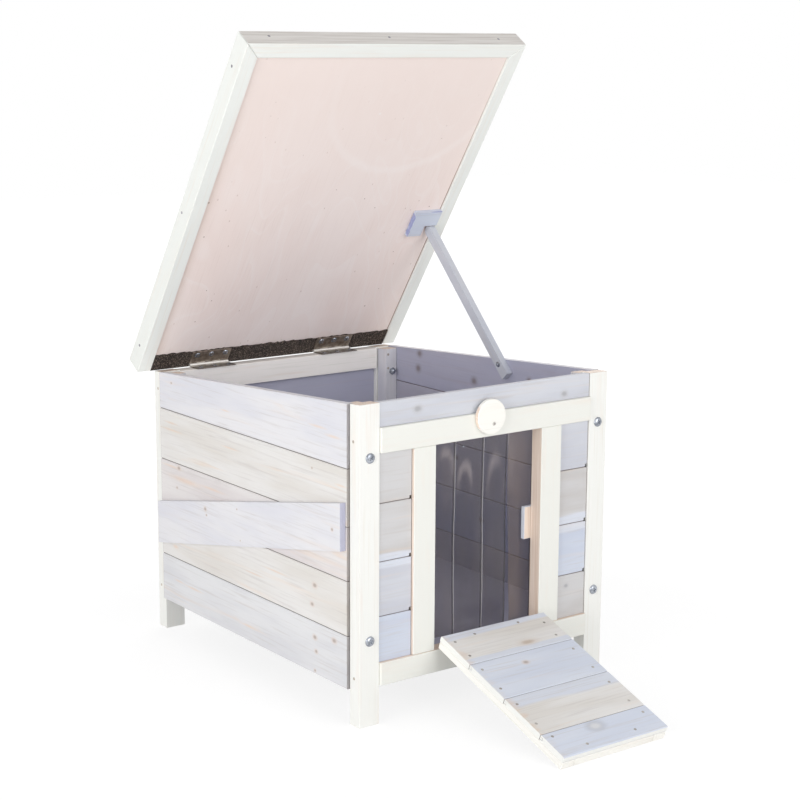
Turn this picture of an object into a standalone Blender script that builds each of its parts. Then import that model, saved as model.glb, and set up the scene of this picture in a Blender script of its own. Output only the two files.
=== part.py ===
"""Outdoor cat house: a painted timber cabin with a felted lid on a prop,
a curtain of clear strips in its doorway and a ramp that folds up into it.

Metres, +Z up, the doorway faces -Y. Pieces are drawn in the house frame,
whose origin is the outer front foot of the left front post. One empty then
moves that frame so that the world origin lies in the middle of the footprint,
on the ground.
"""

import math

import bmesh
import bpy
from mathutils import Matrix, Vector

MM = 0.001

# Gap that stands for two pieces in contact
SEAT = 0.3 * MM
# Chamfer on the sawn edges of the painted timber
EASE = 0.7 * MM

# Body
BODY_WIDTH = 400 * MM
BODY_DEPTH = 500.8 * MM
FRONT_HEIGHT = 406.7 * MM
BACK_HEIGHT = 373.9 * MM
POST_WIDTH = 30 * MM
POST_DEPTH = 20.5 * MM

# Rails and doorway
RAIL_DEPTH = 20 * MM
RAIL_PROUD = 3.5 * MM
BOTTOM_RAIL_FOOT = 50.5 * MM
BOTTOM_RAIL_HEIGHT = 29 * MM
TOP_RAIL_HEIGHT = 31.3 * MM
TOP_BOARD_HEIGHT = 30.9 * MM
DOOR_WIDTH = 172 * MM
JAMB_WIDTH = 33.5 * MM
JAMB_DEPTH = 20 * MM
JAMB_PROUD = 2.5 * MM
BACK_RAIL_DEPTH = 20.5 * MM
BACK_RAIL_SETBACK = 3.5 * MM
BACK_TOP_RAIL_HEIGHT = 30.9 * MM

# Tongued and grooved boards
BOARD_THICKNESS = 10 * MM
TONGUE_THICKNESS = 3 * MM
TONGUE_HEIGHT = 4.5 * MM
GROOVE_CLEARANCE = 0.4 * MM
BOARD_CHAMFER = 1.2 * MM
FRONT_BOARD_SETBACK = 2 * MM
TOP_BOARD_SETBACK = 1.5 * MM
FRONT_BOARD_JOINTS = (138 * MM, 207.5 * MM, 281 * MM)
SIDE_BOARD_PROUD = 3.5 * MM
SIDE_BOARD_FOOT = 45.5 * MM
SIDE_BOARD_JOINTS = (114 * MM, 184 * MM, 252.5 * MM, 325 * MM)
SIDE_BOARD_END_GAP = 1.2 * MM
BACK_BOARD_SETBACK = 5.8 * MM
# Where a tongue stops short of the board's right end
TONGUE_END_CUT = 3 * MM

# Corner battens and bolts
BATTEN_WIDTH = 20 * MM
BATTEN_DEPTH = 22 * MM
BATTEN_TOP_DROP = 2 * MM
BOLT_INSET = 15.5 * MM
BOLT_HEIGHTS = (110 * MM, 340 * MM)
BOLT_HEAD_RADIUS = 6.5 * MM
BOLT_HEAD_HEIGHT = 3 * MM
NUT_RADIUS = 4.5 * MM
NUT_HEIGHT = 6.5 * MM
TURNED_STEPS = 16

# Floor
FLOOR_THICKNESS = 9 * MM
FLOOR_TOP = 70 * MM

# Bare sign plank on the left side
SIGN_THICKNESS = 8.2 * MM
SIGN_HEIGHT = 60.5 * MM
SIGN_END_GAP = 3.2 * MM
SIGN_FRONT_FOOT = 222.8 * MM
SIGN_BACK_FOOT = 131.1 * MM

# Turn button
BUTTON_RADIUS = 22.5 * MM
BUTTON_THICKNESS = 6.2 * MM
BUTTON_OFF_CENTRE = 4 * MM
BUTTON_DROP = 4.8 * MM
BUTTON_PIVOT_ASIDE = 3.5 * MM
BUTTON_PIVOT_BELOW = 9.2 * MM
BUTTON_NAIL_RADIUS = 2.2 * MM
BUTTON_NAIL_HEIGHT = 0.8 * MM

# Strip curtain and stop block
STRIP_THICKNESS = 1.5 * MM
STRIP_MARGIN = 6.5 * MM
STRIP_WIDTHS = (45.5 * MM, 46 * MM, 40 * MM, 44 * MM)
STRIP_SIDE_GAP = 0.8 * MM
STRIP_FOOT_GAP = 3.5 * MM
STRIP_TOP_GAP = 0.6 * MM
STRIP_AXIS_DROP = 0.4 * MM
LAST_STRIP_LEAN = 8 * MM
CURTAIN_BATTEN_DEPTH = 9.7 * MM
CURTAIN_BATTEN_HEIGHT = 27 * MM
CURTAIN_BATTEN_OVERHANG = 8 * MM
STOP_BLOCK_REACH = 10.3 * MM
STOP_BLOCK_WIDTH = 24 * MM
STOP_BLOCK_THICKNESS = 6.5 * MM
STOP_BLOCK_FOOT = 193 * MM
STOP_BLOCK_HEIGHT = 43.5 * MM

# Lid, measured along its slope from the hinge and up from its underside
LID_OVERHANG = 23 * MM
LID_OFFSET = -4.3 * MM
LID_LENGTH = 541 * MM
LID_TAIL = 3.8 * MM
LID_RAIL_WIDTH = 21 * MM
LID_RAIL_DEPTH = 28 * MM
PANEL_THICKNESS = 9 * MM
PANEL_BASE = 3.5 * MM
PANEL_TAIL = 1.5 * MM
FELT_THICKNESS = 1.7 * MM
FELT_FOLD = 23 * MM
BRACKET_THICKNESS = 6 * MM
BRACKET_START = 213.5 * MM
BRACKET_LENGTH = 42.9 * MM
BRACKET_SHOULDER = 24.6 * MM
NOTCH_SIDE_GAP = 8.2 * MM
NOTCH_LENGTH = 17.6 * MM

# Prop stick
PROP_WIDTH = 14.3 * MM
PROP_THICKNESS = 9.8 * MM
PROP_REACH = 238.6 * MM
PROP_HEEL = 21.3 * MM
PROP_SCREW_Y = 205.4 * MM
PROP_SCREW_Z = 387.1 * MM
PROP_TIP_DROP = 5.4 * MM
PROP_TIP_GAP = 0.45 * MM
PROP_SCREW_RADIUS = 2.8 * MM
PROP_SCREW_HEIGHT = 0.9 * MM
TIP_STEPS = 8

# Hinges
LEAF_THICKNESS = 1.2 * MM
LEAF_LIFT = 0.05 * MM
BARREL_GAP = 0.3 * MM
PIN_CLEARANCE = 0.25 * MM
BARREL_SEGMENTS = 20
SCREW_HEAD_RADIUS = 3 * MM
SCREW_HEAD_HEIGHT = 0.6 * MM
LID_HINGE_LENGTH = 63.5 * MM
LID_HINGE_LEAF = 23 * MM
LID_HINGE_BARREL = 2.5 * MM
LID_HINGE_PIN = 1.2 * MM
LID_HINGE_KNUCKLES = 5
LID_HINGE_LEFT_INSET = 86.5 * MM
LID_HINGE_RIGHT_INSET = 101 * MM
RAMP_HINGE_LENGTH = 38 * MM
RAMP_HINGE_LEAF = 14 * MM
RAMP_HINGE_BARREL = 2.3 * MM
RAMP_HINGE_PIN = 1.1 * MM
RAMP_HINGE_KNUCKLES = 3
RAMP_HINGE_SPACING = 100 * MM

# Ramp
RAMP_SIDE_GAP = 2 * MM
RAMP_HEAD_GAP = 11.8 * MM
RAMP_BOARD_THICKNESS = 8 * MM
RAMP_FIRST_BOARD = 61.5 * MM
RAMP_LAST_BOARD = 44.5 * MM
RAMP_BATTEN_WIDTH = 20 * MM
RAMP_BATTEN_THICKNESS = 10 * MM
RAMP_AXIS_PROUD = 4 * MM
RAMP_UNDERSIDE_LIFT = 2.5 * MM

# Heights and lines that follow from the sizes above
ROOF_SLOPE = math.atan2(FRONT_HEIGHT - BACK_HEIGHT, BODY_DEPTH)
SILL_TOP = BOTTOM_RAIL_FOOT + BOTTOM_RAIL_HEIGHT
TOP_RAIL_TOP = FRONT_HEIGHT - TOP_BOARD_HEIGHT
DOOR_HEAD = TOP_RAIL_TOP - TOP_RAIL_HEIGHT
MIDDLE_X = BODY_WIDTH / 2
DOOR_LEFT = MIDDLE_X - DOOR_WIDTH / 2
DOOR_RIGHT = MIDDLE_X + DOOR_WIDTH / 2
BAY_LEFT = POST_WIDTH + SEAT
BAY_RIGHT = BODY_WIDTH - POST_WIDTH - SEAT
RAIL_BACK = RAIL_DEPTH - RAIL_PROUD
WALL_INNER = BOARD_THICKNESS - SIDE_BOARD_PROUD + SEAT
WALL_FRONT = POST_DEPTH + SEAT
WALL_BACK = BODY_DEPTH - POST_DEPTH - SEAT
BACK_RAIL_OUTER = BODY_DEPTH - BACK_RAIL_SETBACK
BACK_RAIL_INNER = BACK_RAIL_OUTER - BACK_RAIL_DEPTH

# Lid hinge axis: the barrels rest on the back rail, at its outer edge
LID_AXIS_Y = BACK_RAIL_OUTER
LID_AXIS_Z = BACK_HEIGHT + SEAT + LID_HINGE_BARREL
# The lid's underside is level with the inner faces of the lid leaves
LID_UNDERSIDE = LID_HINGE_BARREL - LEAF_THICKNESS
LID_LEFT = LID_OFFSET - LID_OVERHANG
LID_RIGHT = BODY_WIDTH + LID_OVERHANG + LID_OFFSET

# The prop stands against the right wall, its tip in the bracket's notch
PROP_RIGHT = BODY_WIDTH - WALL_INNER
PROP_LEFT = PROP_RIGHT - PROP_THICKNESS
NOTCH_LEFT = PROP_LEFT - NOTCH_SIDE_GAP
BRACKET_LEFT = NOTCH_LEFT - BRACKET_SHOULDER
BRACKET_RIGHT = LID_RIGHT - LID_RAIL_WIDTH - 2 * SEAT
TIP_S = BRACKET_START + NOTCH_LENGTH - PROP_WIDTH / 2 - PROP_TIP_GAP
TIP_N = LID_UNDERSIDE - PROP_TIP_DROP

# The prop, the lid and the wall form a triangle, which sets how far the lid opens
SCREW_DISTANCE = math.hypot(LID_AXIS_Y - PROP_SCREW_Y, PROP_SCREW_Z - LID_AXIS_Z)
SCREW_SLOPE = math.atan2(PROP_SCREW_Z - LID_AXIS_Z, LID_AXIS_Y - PROP_SCREW_Y)
TIP_DISTANCE = math.hypot(TIP_S, TIP_N)
TIP_SLOPE = math.atan2(TIP_N, TIP_S)
CORNER_COSINE = SCREW_DISTANCE ** 2 + TIP_DISTANCE ** 2 - PROP_REACH ** 2
CORNER_COSINE = CORNER_COSINE / (2 * SCREW_DISTANCE * TIP_DISTANCE)
LID_OPEN_SLOPE = SCREW_SLOPE + math.acos(CORNER_COSINE) - TIP_SLOPE
TIP_Y = LID_AXIS_Y - TIP_DISTANCE * math.cos(LID_OPEN_SLOPE + TIP_SLOPE)
TIP_Z = LID_AXIS_Z + TIP_DISTANCE * math.sin(LID_OPEN_SLOPE + TIP_SLOPE)
PROP_SLOPE = math.atan2(TIP_Z - PROP_SCREW_Z, TIP_Y - PROP_SCREW_Y)

# Ramp hinge axis: barrels on the sill, and the ramp's tip on the ground
RAMP_AXIS_Y = -RAMP_AXIS_PROUD
RAMP_AXIS_Z = SILL_TOP + SEAT + RAMP_HINGE_BARREL
RAMP_START = RAMP_HINGE_BARREL + SEAT
RAMP_END = DOOR_HEAD - RAMP_HEAD_GAP - RAMP_AXIS_Z
RAMP_LENGTH = RAMP_END - RAMP_START
RAMP_DEPTH = RAMP_BATTEN_THICKNESS + RAMP_BOARD_THICKNESS + SEAT
RAMP_TOP = RAMP_UNDERSIDE_LIFT + RAMP_DEPTH
RAMP_SLOPE = math.asin(RAMP_AXIS_Z / math.hypot(RAMP_END, RAMP_UNDERSIDE_LIFT))
RAMP_SLOPE = RAMP_SLOPE + math.atan2(RAMP_UNDERSIDE_LIFT, RAMP_END)
RAMP_LEFT = DOOR_LEFT + RAMP_SIDE_GAP
RAMP_RIGHT = DOOR_RIGHT - RAMP_SIDE_GAP

# Footprint, from the ramp's tip to the lid's back edge
FRONT_REACH = RAMP_AXIS_Y - RAMP_END * math.cos(RAMP_SLOPE) - RAMP_TOP * math.sin(RAMP_SLOPE)
LID_TOP = LID_UNDERSIDE + LID_RAIL_DEPTH
BACK_REACH = LID_AXIS_Y + LID_TAIL * math.cos(LID_OPEN_SLOPE) + LID_TOP * math.sin(LID_OPEN_SLOPE)
ORIGIN = Vector(((LID_LEFT + LID_RIGHT) / 2, (FRONT_REACH + BACK_REACH) / 2, 0))

# Names, base colours, roughness and metallic value of the materials
FINISHES = {
    "white_paint": ((0.86, 0.86, 0.83), 0.55, 0.0),
    "washed_pine": ((0.72, 0.73, 0.76), 0.60, 0.0),
    "raw_pine": ((0.78, 0.60, 0.46), 0.70, 0.0),
    "plywood": ((0.79, 0.70, 0.64), 0.65, 0.0),
    "roof_felt": ((0.05, 0.04, 0.035), 0.95, 0.0),
    "hinge_steel": ((0.42, 0.38, 0.33), 0.45, 1.0),
    "clear_strip": ((0.85, 0.88, 0.90), 0.12, 0.0),
}


def clear_scene():
    """Remove every object that the scene starts with."""
    for item in list(bpy.data.objects):
        bpy.data.objects.remove(item, do_unlink=True)


def make_collection(name):
    """Return a new collection linked to the scene."""
    collection = bpy.data.collections.new(name)
    bpy.context.scene.collection.children.link(collection)
    return collection


def make_materials():
    """Return one Principled material for each finish."""
    materials = {}
    for name, (colour, roughness, metallic) in FINISHES.items():
        material = bpy.data.materials.new(name)
        material.use_nodes = True
        shader = material.node_tree.nodes["Principled BSDF"]
        shader.inputs["Base Color"].default_value = (*colour, 1.0)
        shader.inputs["Roughness"].default_value = roughness
        shader.inputs["Metallic"].default_value = metallic
        materials[name] = material
    materials["clear_strip"].node_tree.nodes["Principled BSDF"].inputs["Alpha"].default_value = 0.35
    return materials


clear_scene()
PARTS = make_collection("outdoor_cat_house")
TOOLS = make_collection("shaping_tools")
MATERIALS = make_materials()


def add_pivot(name, parent, location, tilt):
    """Add an empty on a hinge axis along X, turned by tilt radians about it."""
    pivot = bpy.data.objects.new(name, None)
    pivot.empty_display_size = 20 * MM
    pivot.location = location
    pivot.rotation_euler = (tilt, 0, 0)
    pivot.parent = parent
    PARTS.objects.link(pivot)
    return pivot


HOUSE = add_pivot("house_frame", None, -ORIGIN, 0)
LID = add_pivot("lid_axis", HOUSE, (0, LID_AXIS_Y, LID_AXIS_Z), -LID_OPEN_SLOPE)
PROP = add_pivot("prop_axis", LID, (0, -TIP_S, TIP_N), LID_OPEN_SLOPE + PROP_SLOPE - math.pi / 2)
RAMP = add_pivot("ramp_axis", HOUSE, (0, RAMP_AXIS_Y, RAMP_AXIS_Z), RAMP_SLOPE)


def add_part(name, shape, finish, parent=HOUSE, origin=None):
    """Make a part from a bmesh in its parent's frame, with its origin at a given
    point or else at its middle."""
    bmesh.ops.recalc_face_normals(shape, faces=shape.faces)
    corners = [vertex.co for vertex in shape.verts]
    low = Vector([min(corner[axis] for corner in corners) for axis in range(3)])
    high = Vector([max(corner[axis] for corner in corners) for axis in range(3)])
    place = (low + high) / 2 if origin is None else Vector(origin)
    bmesh.ops.translate(shape, verts=shape.verts, vec=-place)
    mesh = bpy.data.meshes.new(name)
    shape.to_mesh(mesh)
    shape.free()
    part = bpy.data.objects.new(name, mesh)
    part.location = place
    part.parent = parent
    mesh.materials.append(MATERIALS[finish])
    PARTS.objects.link(part)
    return part


def add_tool(name, shape, parent=HOUSE):
    """Make a hidden shaping body from a bmesh in its parent's frame."""
    mesh = bpy.data.meshes.new(name)
    shape.to_mesh(mesh)
    shape.free()
    tool = bpy.data.objects.new(name, mesh)
    tool.parent = parent
    tool.hide_render = True
    tool.display_type = "WIRE"
    TOOLS.objects.link(tool)
    return tool


def combine(part, tool, operation):
    """Join a shaping body to a part, or cut it away."""
    modifier = part.modifiers.new(tool.name, "BOOLEAN")
    modifier.operation = operation
    modifier.solver = "EXACT"
    modifier.object = tool


def box(x, y, z):
    """Return a box between the two values given for each axis."""
    shape = bmesh.new()
    bmesh.ops.create_cube(shape, size=1)
    size = Vector((x[1] - x[0], y[1] - y[0], z[1] - z[0]))
    middle = Vector((x[0] + x[1], y[0] + y[1], z[0] + z[1])) / 2
    bmesh.ops.scale(shape, verts=shape.verts, vec=size)
    bmesh.ops.translate(shape, verts=shape.verts, vec=middle)
    return shape


# How a drawn outline (u, v) and its depth w lie in space, for each direction
# that an outline is extruded in
LAY = {
    "X": Matrix(((0, 0, 1, 0), (1, 0, 0, 0), (0, 1, 0, 0), (0, 0, 0, 1))),
    "Y": Matrix(((1, 0, 0, 0), (0, 0, 1, 0), (0, 1, 0, 0), (0, 0, 0, 1))),
    "Z": Matrix.Identity(4),
}


def prism(outline, low, high, direction):
    """Return a flat outline extruded from low to high along X, Y or Z."""
    curve = bpy.data.curves.new("outline", "CURVE")
    curve.dimensions = "2D"
    curve.fill_mode = "BOTH"
    curve.extrude = (high - low) / 2
    spline = curve.splines.new("POLY")
    spline.points.add(len(outline) - 1)
    for point, (u, v) in zip(spline.points, outline):
        point.co = (u, v, 0, 1)
    spline.use_cyclic_u = True
    holder = bpy.data.objects.new("outline", curve)
    bpy.context.scene.collection.objects.link(holder)
    bpy.context.view_layer.update()
    depsgraph = bpy.context.evaluated_depsgraph_get()
    mesh = bpy.data.meshes.new_from_object(holder.evaluated_get(depsgraph))
    shape = bmesh.new()
    shape.from_mesh(mesh)
    bmesh.ops.remove_doubles(shape, verts=shape.verts, dist=0.01 * MM)
    bmesh.ops.translate(shape, verts=shape.verts, vec=(0, 0, (low + high) / 2))
    bmesh.ops.transform(shape, verts=shape.verts, matrix=LAY[direction])
    bpy.data.objects.remove(holder, do_unlink=True)
    bpy.data.curves.remove(curve)
    bpy.data.meshes.remove(mesh)
    return shape


def roof_height(y, drop=0):
    """Return the height of the sloping roof line at a depth y."""
    return FRONT_HEIGHT - drop - math.tan(ROOF_SLOPE) * y


def cut_to_roof(shape, drop=0):
    """Saw a shape off along the roof line."""
    everything = shape.verts[:] + shape.edges[:] + shape.faces[:]
    normal = (0, math.sin(ROOF_SLOPE), math.cos(ROOF_SLOPE))
    cut = bmesh.ops.bisect_plane(
        shape,
        geom=everything,
        plane_co=(0, 0, roof_height(0, drop)),
        plane_no=normal,
        clear_outer=True,
    )
    rim = [item for item in cut["geom_cut"] if isinstance(item, bmesh.types.BMEdge)]
    bmesh.ops.edgeloop_fill(shape, edges=rim)
    return shape


def ease(shape):
    """Chamfer the sharp edges of a sawn timber."""
    sharp = [edge for edge in shape.edges if edge.calc_face_angle(0) > math.radians(30)]
    bmesh.ops.bevel(shape, geom=sharp, offset=EASE, segments=1, affect="EDGES")
    return shape


def board_outline(foot, top, outer, inner, tongue, groove):
    """Return the section of a tongued and grooved board as (across, up) points."""
    middle = (outer + inner) / 2
    way = 1 if inner > outer else -1
    chamfer = BOARD_CHAMFER * way
    half_tongue = TONGUE_THICKNESS / 2 * way
    half_groove = half_tongue + GROOVE_CLEARANCE * way
    floor = foot + TONGUE_HEIGHT + GROOVE_CLEARANCE
    outline = [(outer, top - BOARD_CHAMFER), (outer, foot + BOARD_CHAMFER), (outer + chamfer, foot)]
    if groove:
        outline += [(middle - half_groove, foot), (middle - half_groove, floor)]
        outline += [(middle + half_groove, floor), (middle + half_groove, foot)]
    outline += [(inner - chamfer, foot), (inner, foot + BOARD_CHAMFER), (inner, top - BOARD_CHAMFER)]
    outline += [(inner - chamfer, top)]
    if tongue:
        outline += [(middle + half_tongue, top), (middle + half_tongue, top + TONGUE_HEIGHT)]
        outline += [(middle - half_tongue, top + TONGUE_HEIGHT), (middle - half_tongue, top)]
    outline += [(outer + chamfer, top)]
    return outline


def grooved_outline(foot, top, outer, inner, joints):
    """Return the section of boards fixed as one panel, with a V at each joint."""
    way = 1 if inner > outer else -1
    chamfer = BOARD_CHAMFER * way
    outline = [(outer, foot)]
    for joint in joints:
        outline += [(outer, joint - BOARD_CHAMFER), (outer + chamfer, joint), (outer, joint + BOARD_CHAMFER)]
    outline += [(outer, top), (inner, top)]
    for joint in reversed(joints):
        outline += [(inner, joint + BOARD_CHAMFER), (inner - chamfer, joint), (inner, joint - BOARD_CHAMFER)]
    outline += [(inner, foot)]
    return outline


def dome_profile(radius, height, rim, root):
    """Return the section of a round head, from its crown to its root."""
    steps = 4
    profile = []
    for step in range(steps + 1):
        angle = math.pi / 2 * step / steps
        profile.append((radius * math.sin(angle), rim + (height - rim) * math.cos(angle)))
    profile += [(radius, -root), (0, -root)]
    return profile


def turned_mesh(name, profile):
    """Return the edges of a profile, ready to be turned about Z."""
    mesh = bpy.data.meshes.new(name)
    points = [(radius, 0, height) for radius, height in profile]
    edges = [(index, index + 1) for index in range(len(points) - 1)]
    mesh.from_pydata(points, edges, [])
    return mesh


def add_turned(name, mesh, location, facing):
    """Add a turned body whose crown faces +Y or -Y."""
    body = bpy.data.objects.new(name, mesh)
    body.location = location
    body.rotation_euler = (-math.pi / 2 * facing, 0, 0)
    body.parent = HOUSE
    body.hide_render = True
    body.display_type = "WIRE"
    screw = body.modifiers.new("turn", "SCREW")
    screw.axis = "Z"
    screw.steps = TURNED_STEPS
    screw.render_steps = TURNED_STEPS
    screw.use_merge_vertices = True
    screw.merge_threshold = 0.01 * MM
    TOOLS.objects.link(body)
    return body


HEAD_ROOT = 2 * MM
HEAD_MESH = turned_mesh("bolt_head", dome_profile(BOLT_HEAD_RADIUS, BOLT_HEAD_HEIGHT, 0.8 * MM, HEAD_ROOT))
NUT_MESH = turned_mesh("domed_nut", dome_profile(NUT_RADIUS, NUT_HEIGHT, 3 * MM, HEAD_ROOT))


def build_posts():
    """Four corner posts, sawn to the roof line, with the heads of their bolts."""
    columns = {"left": (0, POST_WIDTH), "right": (BODY_WIDTH - POST_WIDTH, BODY_WIDTH)}
    rows = {"front": (0, POST_DEPTH), "back": (BODY_DEPTH - POST_DEPTH, BODY_DEPTH)}
    for side, x in columns.items():
        for end, y in rows.items():
            shape = ease(cut_to_roof(box(x, y, (0, FRONT_HEIGHT))))
            post = add_part(f"post_{end}_{side}", shape, "white_paint")
            bolt_x = BOLT_INSET if side == "left" else BODY_WIDTH - BOLT_INSET
            face, facing = (0, -1) if end == "front" else (BODY_DEPTH, 1)
            for number, height in enumerate(BOLT_HEIGHTS, 1):
                name = f"bolt_head_{end}_{side}_{number}"
                combine(post, add_turned(name, HEAD_MESH, (bolt_x, face, height), facing), "UNION")


def build_corner_battens():
    """Inner battens that the wall boards are nailed to and the posts bolted to."""
    columns = {
        "left": (WALL_INNER, WALL_INNER + BATTEN_WIDTH),
        "right": (BODY_WIDTH - WALL_INNER - BATTEN_WIDTH, BODY_WIDTH - WALL_INNER),
    }
    rows = {
        "front": (WALL_FRONT, WALL_FRONT + BATTEN_DEPTH),
        "back": (WALL_BACK - BATTEN_DEPTH, WALL_BACK),
    }
    for side, x in columns.items():
        for end, y in rows.items():
            shape = ease(cut_to_roof(box(x, y, (FLOOR_TOP + SEAT, FRONT_HEIGHT)), BATTEN_TOP_DROP))
            batten = add_part(f"corner_batten_{end}_{side}", shape, "white_paint")
            bolt_x = BOLT_INSET if side == "left" else BODY_WIDTH - BOLT_INSET
            face, facing = (y[1], 1) if end == "front" else (y[0], -1)
            for number, height in enumerate(BOLT_HEIGHTS, 1):
                name = f"domed_nut_{end}_{side}_{number}"
                combine(batten, add_turned(name, NUT_MESH, (bolt_x, face, height), facing), "UNION")


def build_side_walls():
    """Tongued and grooved boards, the top one of each wall sawn to the roof line."""
    feet = (SIDE_BOARD_FOOT,) + SIDE_BOARD_JOINTS
    tops = SIDE_BOARD_JOINTS + (FRONT_HEIGHT + TONGUE_HEIGHT,)
    faces = {
        "left": (-SIDE_BOARD_PROUD, BOARD_THICKNESS - SIDE_BOARD_PROUD),
        "right": (BODY_WIDTH + SIDE_BOARD_PROUD, BODY_WIDTH + SIDE_BOARD_PROUD - BOARD_THICKNESS),
    }
    for side, (outer, inner) in faces.items():
        for number, (foot, top) in enumerate(zip(feet, tops), 1):
            last = number == len(feet)
            outline = board_outline(foot, top - SEAT, outer, inner, not last, number > 1)
            shape = prism(outline, POST_DEPTH + SIDE_BOARD_END_GAP, WALL_BACK, "Y")
            if last:
                shape = cut_to_roof(shape)
            add_part(f"side_{side}_board_{number}", shape, "washed_pine")


def build_front():
    """Rails, jambs and boards round the doorway."""
    bay = (BAY_LEFT, BAY_RIGHT)
    rail_y = (-RAIL_PROUD, RAIL_BACK)
    add_part("front_bottom_rail", ease(box(bay, rail_y, (BOTTOM_RAIL_FOOT, SILL_TOP))), "white_paint")
    add_part("front_top_rail", ease(box(bay, rail_y, (DOOR_HEAD, TOP_RAIL_TOP))), "white_paint")
    top_y = (TOP_BOARD_SETBACK, TOP_BOARD_SETBACK + BOARD_THICKNESS)
    shape = cut_to_roof(box(bay, top_y, (TOP_RAIL_TOP + SEAT, FRONT_HEIGHT)))
    add_part("front_top_board", shape, "washed_pine")
    height = (SILL_TOP + SEAT, DOOR_HEAD - SEAT)
    jamb_y = (-JAMB_PROUD, JAMB_DEPTH - JAMB_PROUD)
    jambs = {"left": (DOOR_LEFT - JAMB_WIDTH, DOOR_LEFT), "right": (DOOR_RIGHT, DOOR_RIGHT + JAMB_WIDTH)}
    for side, x in jambs.items():
        add_part(f"jamb_{side}", ease(box(x, jamb_y, height)), "white_paint")
    board_y = (FRONT_BOARD_SETBACK, FRONT_BOARD_SETBACK + BOARD_THICKNESS)
    outline = grooved_outline(*height, *board_y, FRONT_BOARD_JOINTS)
    infills = {
        "left": (BAY_LEFT, jambs["left"][0] - SEAT),
        "right": (jambs["right"][1] + SEAT, BAY_RIGHT),
    }
    for side, x in infills.items():
        infill = add_part(f"front_infill_{side}", prism(outline, *x, "X"), "washed_pine")
        for number, joint in enumerate(FRONT_BOARD_JOINTS, 1):
            notch_z = (joint - SEAT, joint - SEAT + TONGUE_HEIGHT)
            notch = box((x[1] - TONGUE_END_CUT, x[1] + EASE), (-RAIL_PROUD, RAIL_BACK), notch_z)
            combine(infill, add_tool(f"tongue_end_{side}_{number}", notch), "DIFFERENCE")


def build_back():
    """Two rails and the boards between them."""
    bay = (BAY_LEFT, BAY_RIGHT)
    rail_y = (BACK_RAIL_INNER, BACK_RAIL_OUTER)
    rail_foot = BACK_HEIGHT - BACK_TOP_RAIL_HEIGHT
    add_part("back_bottom_rail", ease(box(bay, rail_y, (BOTTOM_RAIL_FOOT, SILL_TOP))), "white_paint")
    add_part("back_top_rail", ease(box(bay, rail_y, (rail_foot, BACK_HEIGHT))), "white_paint")
    outer = BODY_DEPTH - BACK_BOARD_SETBACK
    outline = grooved_outline(
        SILL_TOP + SEAT, rail_foot - SEAT, outer, outer - BOARD_THICKNESS, FRONT_BOARD_JOINTS
    )
    add_part("back_boards", prism(outline, *bay, "X"), "washed_pine")


def build_floor():
    """Plywood floor inside the walls, notched round the front posts."""
    left = WALL_INNER
    right = BODY_WIDTH - WALL_INNER
    front = RAIL_BACK + SEAT
    back = BACK_RAIL_INNER - SEAT
    outline = [(BAY_LEFT, front), (BAY_RIGHT, front), (BAY_RIGHT, WALL_FRONT), (right, WALL_FRONT)]
    outline += [(right, back), (left, back), (left, WALL_FRONT), (BAY_LEFT, WALL_FRONT)]
    add_part("floor", prism(outline, FLOOR_TOP - FLOOR_THICKNESS, FLOOR_TOP, "Z"), "plywood")


def build_sign_plank():
    """Bare plank nailed across the left wall, sloping down to the back."""
    front = WALL_FRONT + SIGN_END_GAP
    back = WALL_BACK - SIGN_END_GAP
    outline = [(front, SIGN_FRONT_FOOT), (back, SIGN_BACK_FOOT)]
    outline += [(back, SIGN_BACK_FOOT + SIGN_HEIGHT), (front, SIGN_FRONT_FOOT + SIGN_HEIGHT)]
    inner = -SIDE_BOARD_PROUD - SEAT
    add_part("sign_plank", prism(outline, inner - SIGN_THICKNESS, inner, "X"), "washed_pine")


def cylinder(radius, low, high, centre, direction, segments):
    """Return a round bar along X or Y through a centre point."""
    shape = bmesh.new()
    bmesh.ops.create_cone(
        shape, cap_ends=True, segments=segments, radius1=radius, radius2=radius, depth=high - low
    )
    bmesh.ops.translate(shape, verts=shape.verts, vec=(0, 0, (low + high) / 2))
    axis = "Y" if direction == "X" else "X"
    angle = math.pi / 2 if direction == "X" else -math.pi / 2
    bmesh.ops.rotate(shape, verts=shape.verts, matrix=Matrix.Rotation(angle, 3, axis))
    bmesh.ops.translate(shape, verts=shape.verts, vec=centre)
    return shape


def build_turn_button():
    """Round wooden button on its nail, which turns down over the closed ramp."""
    back = -RAIL_PROUD - SEAT
    front = back - BUTTON_THICKNESS
    centre_x = MIDDLE_X - BUTTON_OFF_CENTRE
    centre_z = TOP_RAIL_TOP - BUTTON_DROP
    pivot_x = centre_x + BUTTON_PIVOT_ASIDE
    pivot_z = centre_z - BUTTON_PIVOT_BELOW
    disc = cylinder(BUTTON_RADIUS, front, back, (centre_x, 0, centre_z), "Y", 48)
    button = add_part("turn_button", ease(disc), "white_paint", origin=(pivot_x, front, pivot_z))
    nail_centre = (pivot_x, 0, pivot_z)
    nail = cylinder(BUTTON_NAIL_RADIUS, front - BUTTON_NAIL_HEIGHT, back - EASE, nail_centre, "Y", 16)
    combine(button, add_tool("button_nail", nail), "UNION")


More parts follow.
